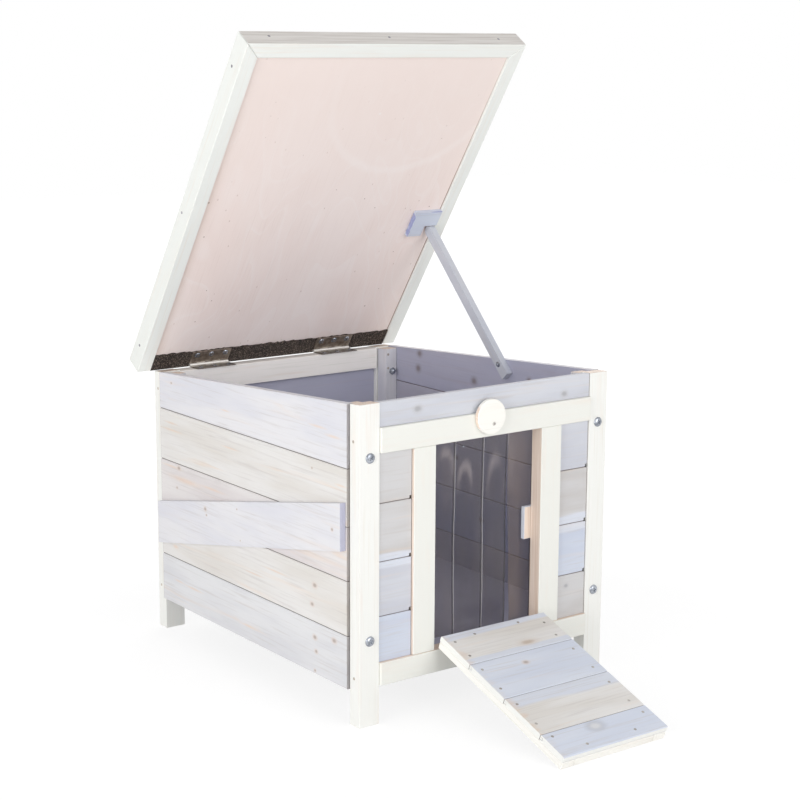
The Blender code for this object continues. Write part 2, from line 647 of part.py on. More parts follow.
def build_curtain():
    """Batten behind the top rail, four hanging strips and the ramp's stop block."""
    batten_foot = DOOR_HEAD + SEAT
    batten_y = (RAIL_BACK + SEAT, RAIL_BACK + SEAT + CURTAIN_BATTEN_DEPTH)
    edges = [DOOR_LEFT + STRIP_MARGIN]
    for width in STRIP_WIDTHS:
        edges.append(edges[-1] + width)
    batten_x = (edges[0] - CURTAIN_BATTEN_OVERHANG, edges[-1] + CURTAIN_BATTEN_OVERHANG)
    shape = box(batten_x, batten_y, (batten_foot, batten_foot + CURTAIN_BATTEN_HEIGHT))
    add_part("curtain_batten", ease(shape), "raw_pine")
    strip_y = (batten_y[1] - STRIP_THICKNESS, batten_y[1])
    top = batten_foot - STRIP_TOP_GAP
    axis_y = sum(strip_y) / 2
    foot = SILL_TOP + STRIP_FOOT_GAP
    for number, (left, right) in enumerate(zip(edges, edges[1:]), 1):
        lean = LAST_STRIP_LEAN if right == edges[-1] else 0
        left = left + STRIP_SIDE_GAP / 2
        right = right - STRIP_SIDE_GAP / 2
        outline = [(left + lean, foot), (right + lean, foot), (right, top), (left, top)]
        axis = ((left + right) / 2, axis_y, top - STRIP_AXIS_DROP)
        add_part(f"curtain_strip_{number}", prism(outline, *strip_y, "Y"), "clear_strip", origin=axis)
    block_x = (DOOR_RIGHT - STOP_BLOCK_REACH, DOOR_RIGHT - STOP_BLOCK_REACH + STOP_BLOCK_WIDTH)
    block_y = (JAMB_DEPTH - JAMB_PROUD + SEAT, JAMB_DEPTH - JAMB_PROUD + SEAT + STOP_BLOCK_THICKNESS)
    block_z = (STOP_BLOCK_FOOT, STOP_BLOCK_FOOT + STOP_BLOCK_HEIGHT)
    add_part("stop_block", ease(box(block_x, block_y, block_z)), "raw_pine")


def slope_points(points):
    """Turn (x, distance from the hinge) into the lid's or the ramp's own (x, y)."""
    return [(x, -distance) for x, distance in points]


def build_lid():
    """Mitred rails round a plywood panel, felt over it and the prop's bracket."""
    rail_n = (LID_UNDERSIDE, LID_UNDERSIDE + LID_RAIL_DEPTH)
    inner_left = LID_LEFT + LID_RAIL_WIDTH
    inner_right = LID_RIGHT - LID_RAIL_WIDTH
    inner_front = LID_LENGTH - LID_RAIL_WIDTH
    mitre = SEAT * math.sqrt(2)
    left = [(LID_LEFT, -LID_TAIL), (inner_left, -LID_TAIL), (inner_left, inner_front), (LID_LEFT, LID_LENGTH)]
    right = [(LID_RIGHT, -LID_TAIL), (LID_RIGHT, LID_LENGTH), (inner_right, inner_front)]
    right += [(inner_right, -LID_TAIL)]
    front = [(inner_left + mitre, inner_front), (inner_right - mitre, inner_front)]
    front += [(LID_RIGHT - mitre, LID_LENGTH), (LID_LEFT + mitre, LID_LENGTH)]
    for name, outline in (("left", left), ("right", right), ("front", front)):
        shape = ease(prism(slope_points(outline), *rail_n, "Z"))
        add_part(f"lid_rail_{name}", shape, "white_paint", LID)

    panel_x = (inner_left + SEAT, inner_right - SEAT)
    panel_base = LID_UNDERSIDE + PANEL_BASE
    panel_top = panel_base + PANEL_THICKNESS
    panel_front = inner_front - SEAT
    shape = box(panel_x, (-panel_front, PANEL_TAIL), (panel_base, panel_top))
    add_part("lid_panel", shape, "plywood", LID)

    inside_y = PANEL_TAIL + SEAT
    outside_y = inside_y + FELT_THICKNESS
    upper = panel_top + SEAT
    lower = panel_base - SEAT
    outline = [(-panel_front, upper), (inside_y, upper), (inside_y, lower), (-FELT_FOLD, lower)]
    outline += [(-FELT_FOLD, lower - FELT_THICKNESS), (outside_y, lower - FELT_THICKNESS)]
    outline += [(outside_y, upper + FELT_THICKNESS), (-panel_front, upper + FELT_THICKNESS)]
    add_part("lid_felt", prism(outline, *panel_x, "X"), "roof_felt", LID)

    notch_end = BRACKET_START + NOTCH_LENGTH
    bracket_end = BRACKET_START + BRACKET_LENGTH
    outline = [(BRACKET_LEFT, BRACKET_START), (NOTCH_LEFT, BRACKET_START), (NOTCH_LEFT, notch_end)]
    outline += [(BRACKET_RIGHT, notch_end), (BRACKET_RIGHT, bracket_end), (BRACKET_LEFT, bracket_end)]
    shape = prism(slope_points(outline), lower - BRACKET_THICKNESS, lower, "Z")
    add_part("lid_bracket", shape, "plywood", LID)


def build_prop():
    """Stick with a rounded tip in the bracket's notch and its wall screw near the heel."""
    radius = PROP_WIDTH / 2
    outline = []
    for step in range(TIP_STEPS + 1):
        angle = math.pi * step / TIP_STEPS
        outline.append((radius * math.cos(angle), radius * math.sin(angle)))
    heel = -PROP_REACH - PROP_HEEL
    outline += [(-radius, heel), (radius, heel)]
    shape = prism(outline, PROP_LEFT, PROP_RIGHT, "X")
    stick = add_part("prop_stick", shape, "washed_pine", PROP, (PROP_RIGHT, 0, 0))
    head = PROP_LEFT - PROP_SCREW_HEIGHT
    screw = cylinder(PROP_SCREW_RADIUS, head, PROP_RIGHT - EASE, (0, 0, -PROP_REACH), "X", 16)
    combine(stick, add_tool("prop_screw", screw, PROP), "UNION")


def barrel_spans(length, count):
    """Return the two ends of each knuckle along a hinge's barrel."""
    pitch = length / count
    starts = [-length / 2 + pitch * index for index in range(count)]
    return [(start + BARREL_GAP / 2, start + pitch - BARREL_GAP / 2) for start in starts]


def build_leaf(name, length, width, barrel, pin, knuckles, carries_pin, parent, place, turn):
    """Make one hinge leaf. Its plate lies below the barrel and reaches towards -Y,
    before it is turned and placed."""
    spans = barrel_spans(length, knuckles)
    own = range(0 if carries_pin else 1, knuckles, 2)
    clear = barrel + BARREL_GAP
    plate = [(length / 2, -width), (-length / 2, -width)]
    for index, (start, end) in enumerate(spans):
        edge = 0 if index in own else -clear
        low = -length / 2 if index == 0 else start - (0 if index in own else BARREL_GAP)
        high = length / 2 if index == knuckles - 1 else end + (0 if index in own else BARREL_GAP)
        plate += [(low, edge), (high, edge)]
    base = -barrel + LEAF_LIFT
    shape = prism(plate, base, base + LEAF_THICKNESS, "Z")
    leaf = add_part(name, shape, "hinge_steel", parent, (0, 0, 0))

    joined = bmesh.new()
    bodies = []
    for index in own:
        bodies.append(cylinder(barrel, *spans[index], (0, 0, 0), "X", BARREL_SEGMENTS))
    for share in (-0.36, 0, 0.36):
        head = bmesh.new()
        depth = LEAF_THICKNESS / 2 + SCREW_HEAD_HEIGHT
        bmesh.ops.create_cone(
            head,
            cap_ends=True,
            segments=16,
            radius1=SCREW_HEAD_RADIUS,
            radius2=SCREW_HEAD_RADIUS / 2,
            depth=depth,
        )
        middle = base + LEAF_THICKNESS / 2 + depth / 2
        bmesh.ops.translate(head, verts=head.verts, vec=(share * length, -0.72 * width, middle))
        bodies.append(head)
    for body in bodies:
        mesh = bpy.data.meshes.new("body")
        body.to_mesh(mesh)
        body.free()
        joined.from_mesh(mesh)
        bpy.data.meshes.remove(mesh)
    tools = [(add_tool(f"{name}_knuckles", joined, leaf), "UNION")]
    reach = length / 2 - BARREL_GAP
    if carries_pin:
        rod = cylinder(pin, -reach, reach, (0, 0, 0), "X", BARREL_SEGMENTS)
        tools.append((add_tool(f"{name}_pin", rod, leaf), "UNION"))
    else:
        bore = cylinder(pin + PIN_CLEARANCE, -length, length, (0, 0, 0), "X", BARREL_SEGMENTS)
        tools.append((add_tool(f"{name}_bore", bore, leaf), "DIFFERENCE"))
    for tool, operation in tools:
        combine(leaf, tool, operation)
    leaf.location = place
    leaf.rotation_euler = turn
    return leaf


def build_hinges():
    """Two butt hinges behind the lid and two under the ramp's inner end."""
    lid_size = (LID_HINGE_LENGTH, LID_HINGE_LEAF, LID_HINGE_BARREL, LID_HINGE_PIN, LID_HINGE_KNUCKLES)
    for side, x in (("left", LID_HINGE_LEFT_INSET), ("right", BODY_WIDTH - LID_HINGE_RIGHT_INSET)):
        place = (x, LID_AXIS_Y, LID_AXIS_Z)
        build_leaf(f"lid_hinge_{side}_rail_leaf", *lid_size, True, HOUSE, place, (0, 0, 0))
        build_leaf(f"lid_hinge_{side}_lid_leaf", *lid_size, False, LID, (x, 0, 0), (0, math.pi, 0))
    ramp_size = (RAMP_HINGE_LENGTH, RAMP_HINGE_LEAF, RAMP_HINGE_BARREL, RAMP_HINGE_PIN, RAMP_HINGE_KNUCKLES)
    for side, way in (("left", -1), ("right", 1)):
        x = MIDDLE_X + way * RAMP_HINGE_SPACING / 2
        place = (x, RAMP_AXIS_Y, RAMP_AXIS_Z)
        build_leaf(f"ramp_hinge_{side}_sill_leaf", *ramp_size, True, HOUSE, place, (0, 0, math.pi))
        build_leaf(f"ramp_hinge_{side}_ramp_leaf", *ramp_size, False, RAMP, (x, 0, 0), (-math.pi / 2, 0, 0))


def build_ramp():
    """Four tongued boards across a frame of two long and two short battens."""
    batten_n = (RAMP_UNDERSIDE_LIFT, RAMP_UNDERSIDE_LIFT + RAMP_BATTEN_THICKNESS)
    whole = (-RAMP_END, -RAMP_START)
    sides = {
        "left": (RAMP_LEFT, RAMP_LEFT + RAMP_BATTEN_WIDTH),
        "right": (RAMP_RIGHT - RAMP_BATTEN_WIDTH, RAMP_RIGHT),
    }
    for side, x in sides.items():
        add_part(f"ramp_batten_{side}", ease(box(x, whole, batten_n)), "white_paint", RAMP)
    cross_x = (sides["left"][1] + SEAT, sides["right"][0] - SEAT)
    crosses = {
        "house_end": (-RAMP_START - RAMP_BATTEN_WIDTH, -RAMP_START),
        "ground_end": (-RAMP_END, -RAMP_END + RAMP_BATTEN_WIDTH),
    }
    for end, y in crosses.items():
        add_part(f"ramp_batten_{end}", ease(box(cross_x, y, batten_n)), "white_paint", RAMP)

    board_base = batten_n[1] + SEAT
    board_top = board_base + RAMP_BOARD_THICKNESS
    middle = (RAMP_FIRST_BOARD + RAMP_LENGTH - RAMP_LAST_BOARD) / 2
    joints = (0, RAMP_FIRST_BOARD, middle, RAMP_LENGTH - RAMP_LAST_BOARD, RAMP_LENGTH)
    for number, (start, end) in enumerate(zip(joints, joints[1:]), 1):
        last = end == RAMP_LENGTH
        near = RAMP_START + start
        far = RAMP_START + end - (0 if last else SEAT)
        outline = board_outline(near, far, board_top, board_base, not last, number > 1)
        section = [(-distance, height) for height, distance in outline]
        add_part(f"ramp_board_{number}", prism(section, RAMP_LEFT, RAMP_RIGHT, "X"), "washed_pine", RAMP)


build_posts()
build_corner_battens()
build_side_walls()
build_front()
build_back()
build_floor()
build_sign_plank()
build_turn_button()
build_curtain()
build_lid()
build_prop()
build_hinges()
build_ramp()
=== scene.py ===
# %% [markdown]
# # An outdoor cat house with an opening roof
# This lesson dresses a finished CAD model of a small wooden cat house so that it looks like a real one.
# Our work is the skin: paint, washed pine, plywood, felt, screws, nails and the clear door curtain.

# %% Load the frame
import math
import bmesh
import bpy
from mathutils import Matrix, Vector


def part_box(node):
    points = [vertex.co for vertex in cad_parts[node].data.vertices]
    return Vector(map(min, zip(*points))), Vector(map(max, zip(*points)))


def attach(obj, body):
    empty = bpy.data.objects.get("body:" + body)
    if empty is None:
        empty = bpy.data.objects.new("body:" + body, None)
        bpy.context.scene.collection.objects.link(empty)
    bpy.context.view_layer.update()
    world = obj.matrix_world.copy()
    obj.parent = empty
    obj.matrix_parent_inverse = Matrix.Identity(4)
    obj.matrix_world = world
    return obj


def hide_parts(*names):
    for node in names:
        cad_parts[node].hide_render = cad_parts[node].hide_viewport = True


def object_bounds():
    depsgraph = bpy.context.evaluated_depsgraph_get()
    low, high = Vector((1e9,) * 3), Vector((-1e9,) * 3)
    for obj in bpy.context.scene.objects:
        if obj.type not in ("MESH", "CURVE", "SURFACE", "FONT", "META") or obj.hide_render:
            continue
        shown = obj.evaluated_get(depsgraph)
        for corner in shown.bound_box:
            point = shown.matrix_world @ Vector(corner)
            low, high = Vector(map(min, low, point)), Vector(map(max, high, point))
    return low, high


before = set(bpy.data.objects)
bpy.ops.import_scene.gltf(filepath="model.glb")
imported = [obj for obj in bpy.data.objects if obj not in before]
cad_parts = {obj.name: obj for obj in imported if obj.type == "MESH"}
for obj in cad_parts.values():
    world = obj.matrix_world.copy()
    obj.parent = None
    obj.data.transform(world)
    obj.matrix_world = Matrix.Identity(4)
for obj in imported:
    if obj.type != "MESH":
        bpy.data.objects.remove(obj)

cad_low, cad_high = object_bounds()
size_of_house = [round((b - a) * 1000) for a, b in zip(cad_low, cad_high)]
print("the CAD house is", size_of_house, "millimetres wide, deep and high")

# %% [markdown]
# ## Rulers for each part
# A joiner measures from a corner of the house, from the hinge line of the roof or the ramp, or from the
# notch that holds the prop. Blender measures from one origin. So we keep five places: a place is a matrix
# that turns a joiner's numbers into Blender's. Measures along a sloping piece then stay simple.

# %% Places to measure from
MM = 0.001
RAIL_CORNER = Vector((30.3, -3.5, 50.5))
LID_HINGE = (497.3, 376.7)
LID_RISE = 1.3
RAMP_HINGE = (-4.0, 82.1)
PROP_NOTCH = (369.63, 560.19)
HOUSE = Matrix.Translation(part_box("front_bottom_rail")[0] - RAIL_CORNER * MM)
ROOF_TILT = math.radians(-56.22)
RAMP_TILT = math.radians(19.695)
PROP_TILT = math.radians(-43.495)


def turned(degrees, axis):
    """A turn about an axis."""
    return Matrix.Rotation(math.radians(degrees), 4, axis)


def place_at(y, z, tilt):
    """A place with its origin in the house's own millimetres, leaning by a tilt."""
    return HOUSE @ Matrix.Translation(Vector((0, y, z)) * MM) @ Matrix.Rotation(tilt, 4, "X")


PLACES = {
    "house": (HOUSE, 0.0),
    "lid": (place_at(*LID_HINGE, ROOF_TILT) @ Matrix.Translation((0, 0, LID_RISE * MM)), ROOF_TILT),
    "axle": (place_at(*LID_HINGE, 0.0), 0.0),
    "ramp": (place_at(*RAMP_HINGE, RAMP_TILT), RAMP_TILT),
    "prop": (place_at(*PROP_NOTCH, PROP_TILT), PROP_TILT),
}
for name, (matrix, tilt) in PLACES.items():
    print(name, "starts at", [round(c, 4) for c in matrix.translation])

# %% [markdown]
# ## The camera
# The house stands a little below the lens and is seen from its left front corner. The lens is long, so the
# upright posts stay upright. The camera turns to the right, looks down a little and leans by a hair, all
# in degrees.

# %% Camera
LOOKS_RIGHT = 36.59
LOOKS_DOWN = 11.23
LEANS = 0.29221
STANDS = (-1.40514, -1.848048, 0.82916)
LENS, FILM_WIDTH = 80.97, 36.0
camera_data = bpy.data.cameras.new("portrait_camera")
camera_data.lens = LENS
camera_data.sensor_width = FILM_WIDTH
camera = bpy.data.objects.new("portrait_camera", camera_data)
studio = bpy.context.scene
studio.collection.objects.link(camera)
aim = turned(-LOOKS_RIGHT, "Z") @ turned(90 - LOOKS_DOWN, "X") @ turned(LEANS, "Z")
camera.matrix_world = Matrix.Translation(STANDS) @ aim
studio.camera = camera
print("camera stands at", [round(c, 3) for c in camera.matrix_world.translation])

# %% [markdown]
# ## Wiring a finish
# A procedural finish is a small recipe of nodes. Helpers keep the recipes short: one adds a node and either
# links or sets each of its inputs, one mixes two colours, one stretches a range of values, and so on.
# Colours are written as on a paint card, from 0 to 255, and turned into the numbers that light works in.

# %% Helpers for finishes
def paint(red, green, blue):
    """A paint card colour as Blender's linear colour."""
    shades = [c / 255 for c in (red, green, blue)]
    linear = [c / 12.92 if c <= 0.04045 else ((c + 0.055) / 1.055) ** 2.4 for c in shades]
    return (*linear, 1.0)


bench = {"tree": None}


def fill(node, inputs):
    """Links each input that is given a socket, and sets each that is given a value."""
    for key, value in inputs.items():
        if isinstance(value, bpy.types.NodeSocket):
            bench["tree"].links.new(value, node.inputs[key])
        else:
            node.inputs[key].default_value = value


def step(kind, inputs, out=0, **settings):
    """Adds a node with its settings and inputs, and gives one of its outputs."""
    node = bench["tree"].nodes.new("ShaderNode" + kind)
    for key, value in settings.items():
        setattr(node, key, value)
    fill(node, inputs)
    return node.outputs[out]


def mix(share, first, second):
    """The first colour, with a share of the second."""
    return step("Mix", {0: share, 6: first, 7: second}, 2, data_type="RGBA")


def sums(operation, first, second=0.0):
    """One sum on two values."""
    return step("Math", {0: first, 1: second}, operation=operation)


def vectors(operation, first, second=(0, 0, 0), out="Vector"):
    """One sum on two sets of three numbers."""
    return step("VectorMath", {0: first, 1: second}, out, operation=operation)


def stretch(value, low, high, most=1.0):
    """0 below low, most above high, smooth between. With low above high it falls instead."""
    inputs = {"Value": value, "From Min": low, "From Max": high, "To Max": most}
    return step("MapRange", inputs, interpolation_type="SMOOTHSTEP")


print("a mid grey of the paint card is", [round(c, 3) for c in paint(128, 128, 128)])

# %% [markdown]
# ## Patterns in a finish
# A pattern is a noise, or a distance from something. Each finish reads its patterns in the place of its
# part, so the grain moves with the part, and a mask picks out the faces that look in some directions.

# %% Helpers for patterns
def along(points, amounts, seed):
    """Points multiplied axis by axis, then moved to another part of the pattern."""
    shift = (seed * 3.7 % 11, seed * 1.9 % 7, seed * 5.3 % 13)
    return vectors("ADD", vectors("MULTIPLY", points, amounts), shift)


def speckle(points, amounts, seed, **more):
    """A noise from 0 to 1. The amounts say how fast it changes along each axis."""
    inputs = {"Vector": along(points, amounts, seed), "Scale": 1.0, "Detail": 3.0, "Roughness": 0.55}
    inputs.update({key.capitalize(): value for key, value in more.items()})
    return step("TexNoise", inputs, "Fac")


def new_finish(name, place):
    """Opens a new material on the bench. Gives it, its shader, and its points measured in a place."""
    material = bpy.data.materials.new(name)
    material.use_nodes = True
    bench["tree"] = material.node_tree
    matrix, tilt = PLACES[place]
    spot = step("TexCoord", {}, "Object")
    there = {"Vector": spot, "Location": matrix.translation, "Rotation": (tilt, 0, 0)}
    points = step("Mapping", there, vector_type="TEXTURE")
    return material, material.node_tree.nodes["Principled BSDF"], points


def facings(place):
    """The way each point of the surface looks, measured in a place."""
    looks = {"Vector": step("TexCoord", {}, "Normal"), "Rotation": (-PLACES[place][1], 0, 0)}
    return step("Mapping", looks, vector_type="VECTOR")


def surface(shader, colour, roughness, gloss=0.5):
    """Sets the colour of a finish, how rough it is and how strongly it shines."""
    fill(shader, {"Base Color": colour, "Roughness": roughness, "Specular IOR Level": gloss})


def roughen(shader, height, strength, depth):
    """Presses a pattern of heights into the surface."""
    inputs = {"Height": height, "Strength": strength, "Distance": depth}
    fill(shader, {"Normal": step("Bump", inputs)})


FACES = {
    "+x": (1, 0, 0), "-x": (-1, 0, 0),
    "+y": (0, 1, 0), "-y": (0, -1, 0),
    "+z": (0, 0, 1), "-z": (0, 0, -1),
}


def grain_amounts(grain, run, cross):
    """How fast a pattern changes along the grain and across it, as three numbers."""
    return tuple(run if axis == grain else cross for axis in "xyz")


def faces_mask(facing, directions, from_share=0.72, to_share=0.86):
    """1 on the faces that look in one of the directions, 0 elsewhere, eased between two shares."""
    mask = None
    for direction in directions:
        looks = vectors("DOT_PRODUCT", facing, FACES[direction], "Value")
        one = stretch(looks, from_share, to_share)
        mask = one if mask is None else sums("MAXIMUM", mask, one)
    return mask


print("grain along z changes by", grain_amounts("z", 9, 420), "a metre")

# %% [markdown]
# ## Soft studio light
# A product picture of pale wood needs light from everywhere and one gentle direction, or the planks lose
# their shape. The world lights the house softly. Rays that come straight from the camera, from a mirror or
# through a clear sheet see plain white instead, which is how the background becomes paper white.

# %% World and lamps
WORLD_LIGHT = 0.52
PAPER_WHITE = (1, 1, 1, 1)


def seen_directly():
    """1 for rays from the camera, from a mirror or through a clear sheet, 0 for all others."""
    camera_ray, glossy_ray, transmission_ray = (
        step("LightPath", {}, f"Is {kind} Ray") for kind in ("Camera", "Glossy", "Transmission"))
    return sums("MAXIMUM", sums("MAXIMUM", camera_ray, glossy_ray), transmission_ray)


world = bpy.data.worlds.new("studio")
studio.world = world
world.use_nodes = True
world.node_tree.nodes.clear()
bench["tree"] = world.node_tree
glow = step("Background", {"Color": PAPER_WHITE, "Strength": WORLD_LIGHT})
paper = step("Background", {"Color": PAPER_WHITE, "Strength": 1.0})
sky = step("MixShader", {0: seen_directly(), 1: glow, 2: paper})
fill(world.node_tree.nodes.new("ShaderNodeOutputWorld"), {"Surface": sky})
studio.view_settings.view_transform = "Standard"


def hang_lamp(name, spot, aim, size, power):
    """A square soft box that hangs at a spot and faces an aim."""
    lamp_data = bpy.data.lights.new(name, "AREA")
    lamp_data.size = size
    lamp_data.energy = power
    lamp = bpy.data.objects.new(name, lamp_data)
    studio.collection.objects.link(lamp)
    lamp.location = spot
    lamp.rotation_euler = (Vector(aim) - Vector(spot)).to_track_quat("-Z", "Y").to_euler()
    lamp.visible_camera = False


SIDE_POWER = 33.0
FRONT_POWER = 27.5
BACK_POWER = 22.0
hang_lamp("side_soft_box", (-2.5, -0.8, 0.75), (0, 0, 0.3), 1.5, SIDE_POWER)
hang_lamp("front_soft_box", (0.3, -2.7, 1.05), (0, 0, 0.45), 1.7, FRONT_POWER)
hang_lamp("back_soft_box", (1.8, 2.0, 1.3), (0, 0, 0.3), 1.8, BACK_POWER)

# %% [markdown]
# ## White paint on spruce
# The frame of the house is spruce under one thin coat of warm white. Grain lines press through thin paint,
# so the same stretched noise tints the colour a little and feeds the bump. Sawn ends and cut faces were
# left raw, and show pinkish wood: a mask made from the way a face looks brings that wood in.

# %% White paint
WHITE = paint(242, 242, 238)
WHITE_GRAIN = paint(236, 234, 227)
RAW = paint(238, 222, 209)
RAW_GRAIN = paint(224, 202, 184)


def white_paint(name, place, grain, seed, raw=(), tint=WHITE, worn=0.35, bare=(RAW, RAW_GRAIN)):
    """One coat of white paint. raw lists the faces that the brush missed, and worn says how thin it is."""
    material, shader, points = new_finish(name, place)
    fibres = speckle(points, grain_amounts(grain, 9, 420), seed, detail=4.0)
    broad = speckle(points, grain_amounts(grain, 7, 60), seed + 2)
    coat = mix(stretch(fibres, 0.5, 0.78), tint, WHITE_GRAIN)
    coat = mix(stretch(broad, 0.52, 0.8, worn), coat, RAW)
    if raw:
        wood = mix(stretch(fibres, 0.38, 0.7), *bare)
        coat = mix(faces_mask(facings(place), raw), coat, wood)
    surface(shader, coat, 0.55, 0.35)
    roughen(shader, fibres, 0.25, 0.0006)
    return material


def dress(node, material):
    """Gives a CAD node its finish."""
    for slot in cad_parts[node].material_slots:
        slot.material = material


CREAM = paint(248, 246, 240)
GREENISH = paint(238, 240, 236)
THIN = paint(251, 247, 243)
FRONT_WHITE = paint(236, 236, 230)
WHITE_NODES = {
    "front_bottom_rail": ("house", "x", 11, ("+z",), FRONT_WHITE, 0.3),
    "front_top_rail": ("house", "x", 12, (), FRONT_WHITE, 0.3),
    "back_bottom_rail": ("house", "x", 13, ("+z",), WHITE, 0.4),
    "back_top_rail": ("house", "x", 14, (), THIN, 0.6),
    "jamb_left": ("house", "z", 15, ("+x", "-x"), FRONT_WHITE, 0.3),
    "jamb_right": ("house", "z", 16, ("+x", "-x"), FRONT_WHITE, 0.3),
    "lid_rail_left": ("lid", "y", 17, ("+y",), GREENISH, 0.25),
    "lid_rail_right": ("lid", "y", 18, ("+y",), GREENISH, 0.3),
    "lid_rail_front": ("lid", "x", 19, ("-y",), GREENISH, 0.35),
    "turn_button": ("house", "x", 20, ("-x",), CREAM, 0.3),
    "ramp_batten_left": ("ramp", "y", 21, (), CREAM, 0.3),
    "ramp_batten_right": ("ramp", "y", 22, (), CREAM, 0.3),
    "ramp_batten_house_end": ("ramp", "x", 23, (), CREAM, 0.3),
    "ramp_batten_ground_end": ("ramp", "x", 24, (), CREAM, 0.3),
}
GREY_FACE = (paint(232, 228, 224), paint(206, 199, 193))
for node, (place, grain, seed, raw, tint, worn) in WHITE_NODES.items():
    bare = GREY_FACE if node == "lid_rail_front" else (RAW, RAW_GRAIN)
    dress(node, white_paint("white_" + node, place, grain, seed, raw, tint, worn, bare=bare))
print(len(WHITE_NODES), "pieces painted white")

# %% [markdown]
# ## Washed pine
# The planks are pine under a thin grey-blue wash that lets the wood through, so no two look alike. First
# come the tones of the paint card.

# %% Tones
TONES = {
    "lavender": (paint(228, 227, 230), paint(219, 219, 226)),
    "beige": (paint(229, 227, 225), paint(221, 217, 212)),
    "blue": (paint(219, 224, 235), paint(211, 217, 231)),
    "grey": (paint(225, 225, 227), paint(215, 215, 219)),
    "pink": (paint(227, 223, 222), paint(219, 213, 213)),
    "mist": (paint(210, 212, 219), paint(201, 203, 212)),
    "sand": (paint(209, 208, 209), paint(200, 197, 196)),
    "slate": (paint(203, 206, 214), paint(190, 195, 208)),
    "sky": (paint(209, 215, 228), paint(200, 207, 223)),
}
GRAIN_LINE = paint(196, 190, 187)
RESIN = paint(233, 208, 184)
DARK_KNOT = (paint(170, 156, 148), paint(218, 202, 192))
BLUE_EDGE = paint(216, 220, 230)
STREAK = paint(229, 202, 182)
NOTCH_SHADE = paint(46, 42, 42)
GREY_KNOT = (paint(168, 168, 172), paint(192, 191, 194))
PALE_KNOT = (paint(224, 224, 226), paint(176, 177, 184))
SOFT_KNOT = (paint(190, 172, 158), paint(214, 202, 192))
# Painted shade: a dark grey-blue laid over inner faces, and a few faces in gaps, for the shade in the house.
INSIDE_SHADE = paint(151, 153, 184)
# Painted shade: a darker copy of the knot colours, for knots on the shaded inner face of the right wall.
SHADED_KNOT = (paint(134, 124, 124), paint(152, 146, 158))
GAP_BROWN = paint(98, 84, 80)
print(len(TONES), "tones of washed pine")

# %% [markdown]
# ## Gaps and knots
# Every board can have two kinds of marks. A knot is a distance from a point, shorter across the grain than
# along it, turned into a dark heart and an orange ring. A joint between boards is a line with a little
# shade beside it.

# %% Gaps and knots
def off_line(value, line):
    """How far a value is from a line, on either side of it."""
    return sums("ABSOLUTE", sums("SUBTRACT", value, line))


def axis_of(points, axis):
    """One of the three numbers of each point."""
    return step("SeparateXYZ", {0: points}, axis.upper())


def away_from(points, centre, squeeze=(1, 1, 1)):
    """Each point's offset from a centre, squeezed axis by axis, and the length of that offset."""
    offset = vectors("MULTIPLY", vectors("SUBTRACT", points, centre), squeeze)
    return offset, vectors("LENGTH", offset, out="Value")


def shade_gaps(points, colour, gaps, shade=GAP_BROWN):
    """Darkens the wood beside its gaps. A gap is an axis, a position and a reach, in millimetres."""
    for axis, position, reach in gaps:
        away = off_line(axis_of(points, axis), position * MM)
        colour = mix(stretch(away, reach * MM, reach * 0.45 * MM, 0.8), colour, shade)
    return colour


def add_knots(points, colour, knots, seed, heart, ring, depth=1.0):
    """Lays knots over a colour. A knot is its centre in millimetres, None where it goes right through,
    and its radii in millimetres, and depth is how much of it shows."""
    for number, (centre, radii) in enumerate(knots):
        middle = tuple(0.0 if c is None else c * MM for c in centre)
        squeeze = tuple(0.0 if c is None else 1 / (r * MM) for c, r in zip(centre, radii))
        distance = away_from(points, middle, squeeze)[1]
        wobble = speckle(points, (160, 160, 160), seed + number)
        distance = sums("ADD", distance, sums("MULTIPLY", wobble, 0.5))
        colour = mix(stretch(distance, 2.2, 0.9, 0.5 * depth), colour, ring)
        colour = mix(stretch(distance, 1.35, 0.5, 0.75 * depth), colour, heart)
    return colour


def side_knot(y, z, along_grain=5.0, across_grain=3.4):
    """A knot in a side wall, which goes through it from left to right."""
    return (None, y, z), (1.0, along_grain, across_grain)


def front_knot(x, z, along_grain=5.0, across_grain=3.4):
    """A knot in a front or back board, which goes through it from front to back."""
    return (x, None, z), (along_grain, 1.0, across_grain)


def ramp_knot(x, s, along_grain=5.0, across_grain=3.6):
    """A knot in a ramp board, measured from the ramp's hinge line."""
    return (x, -s, None), (along_grain, across_grain, 1.0)


print("the centre and radii of a usual knot are", side_knot(360, 300))

# %% [markdown]
# ## One washed board
# Each board gets its own recipe: a base tone, slow clouds of a second tone, thin grain lines, orange streaks
# where resin shows, and its own knots. Where several boards are one solid, each starts at its own height,
# and its grain is read from another part of the pattern, so that it doesn't run on across the joint. The
# floor is the plainest board.

# %% A washed board
def waver(value, noise, width):
    """Makes a straight border wander by a noise, over a width in metres."""
    return sums("ADD", value, sums("MULTIPLY", sums("SUBTRACT", noise, 0.5), width))


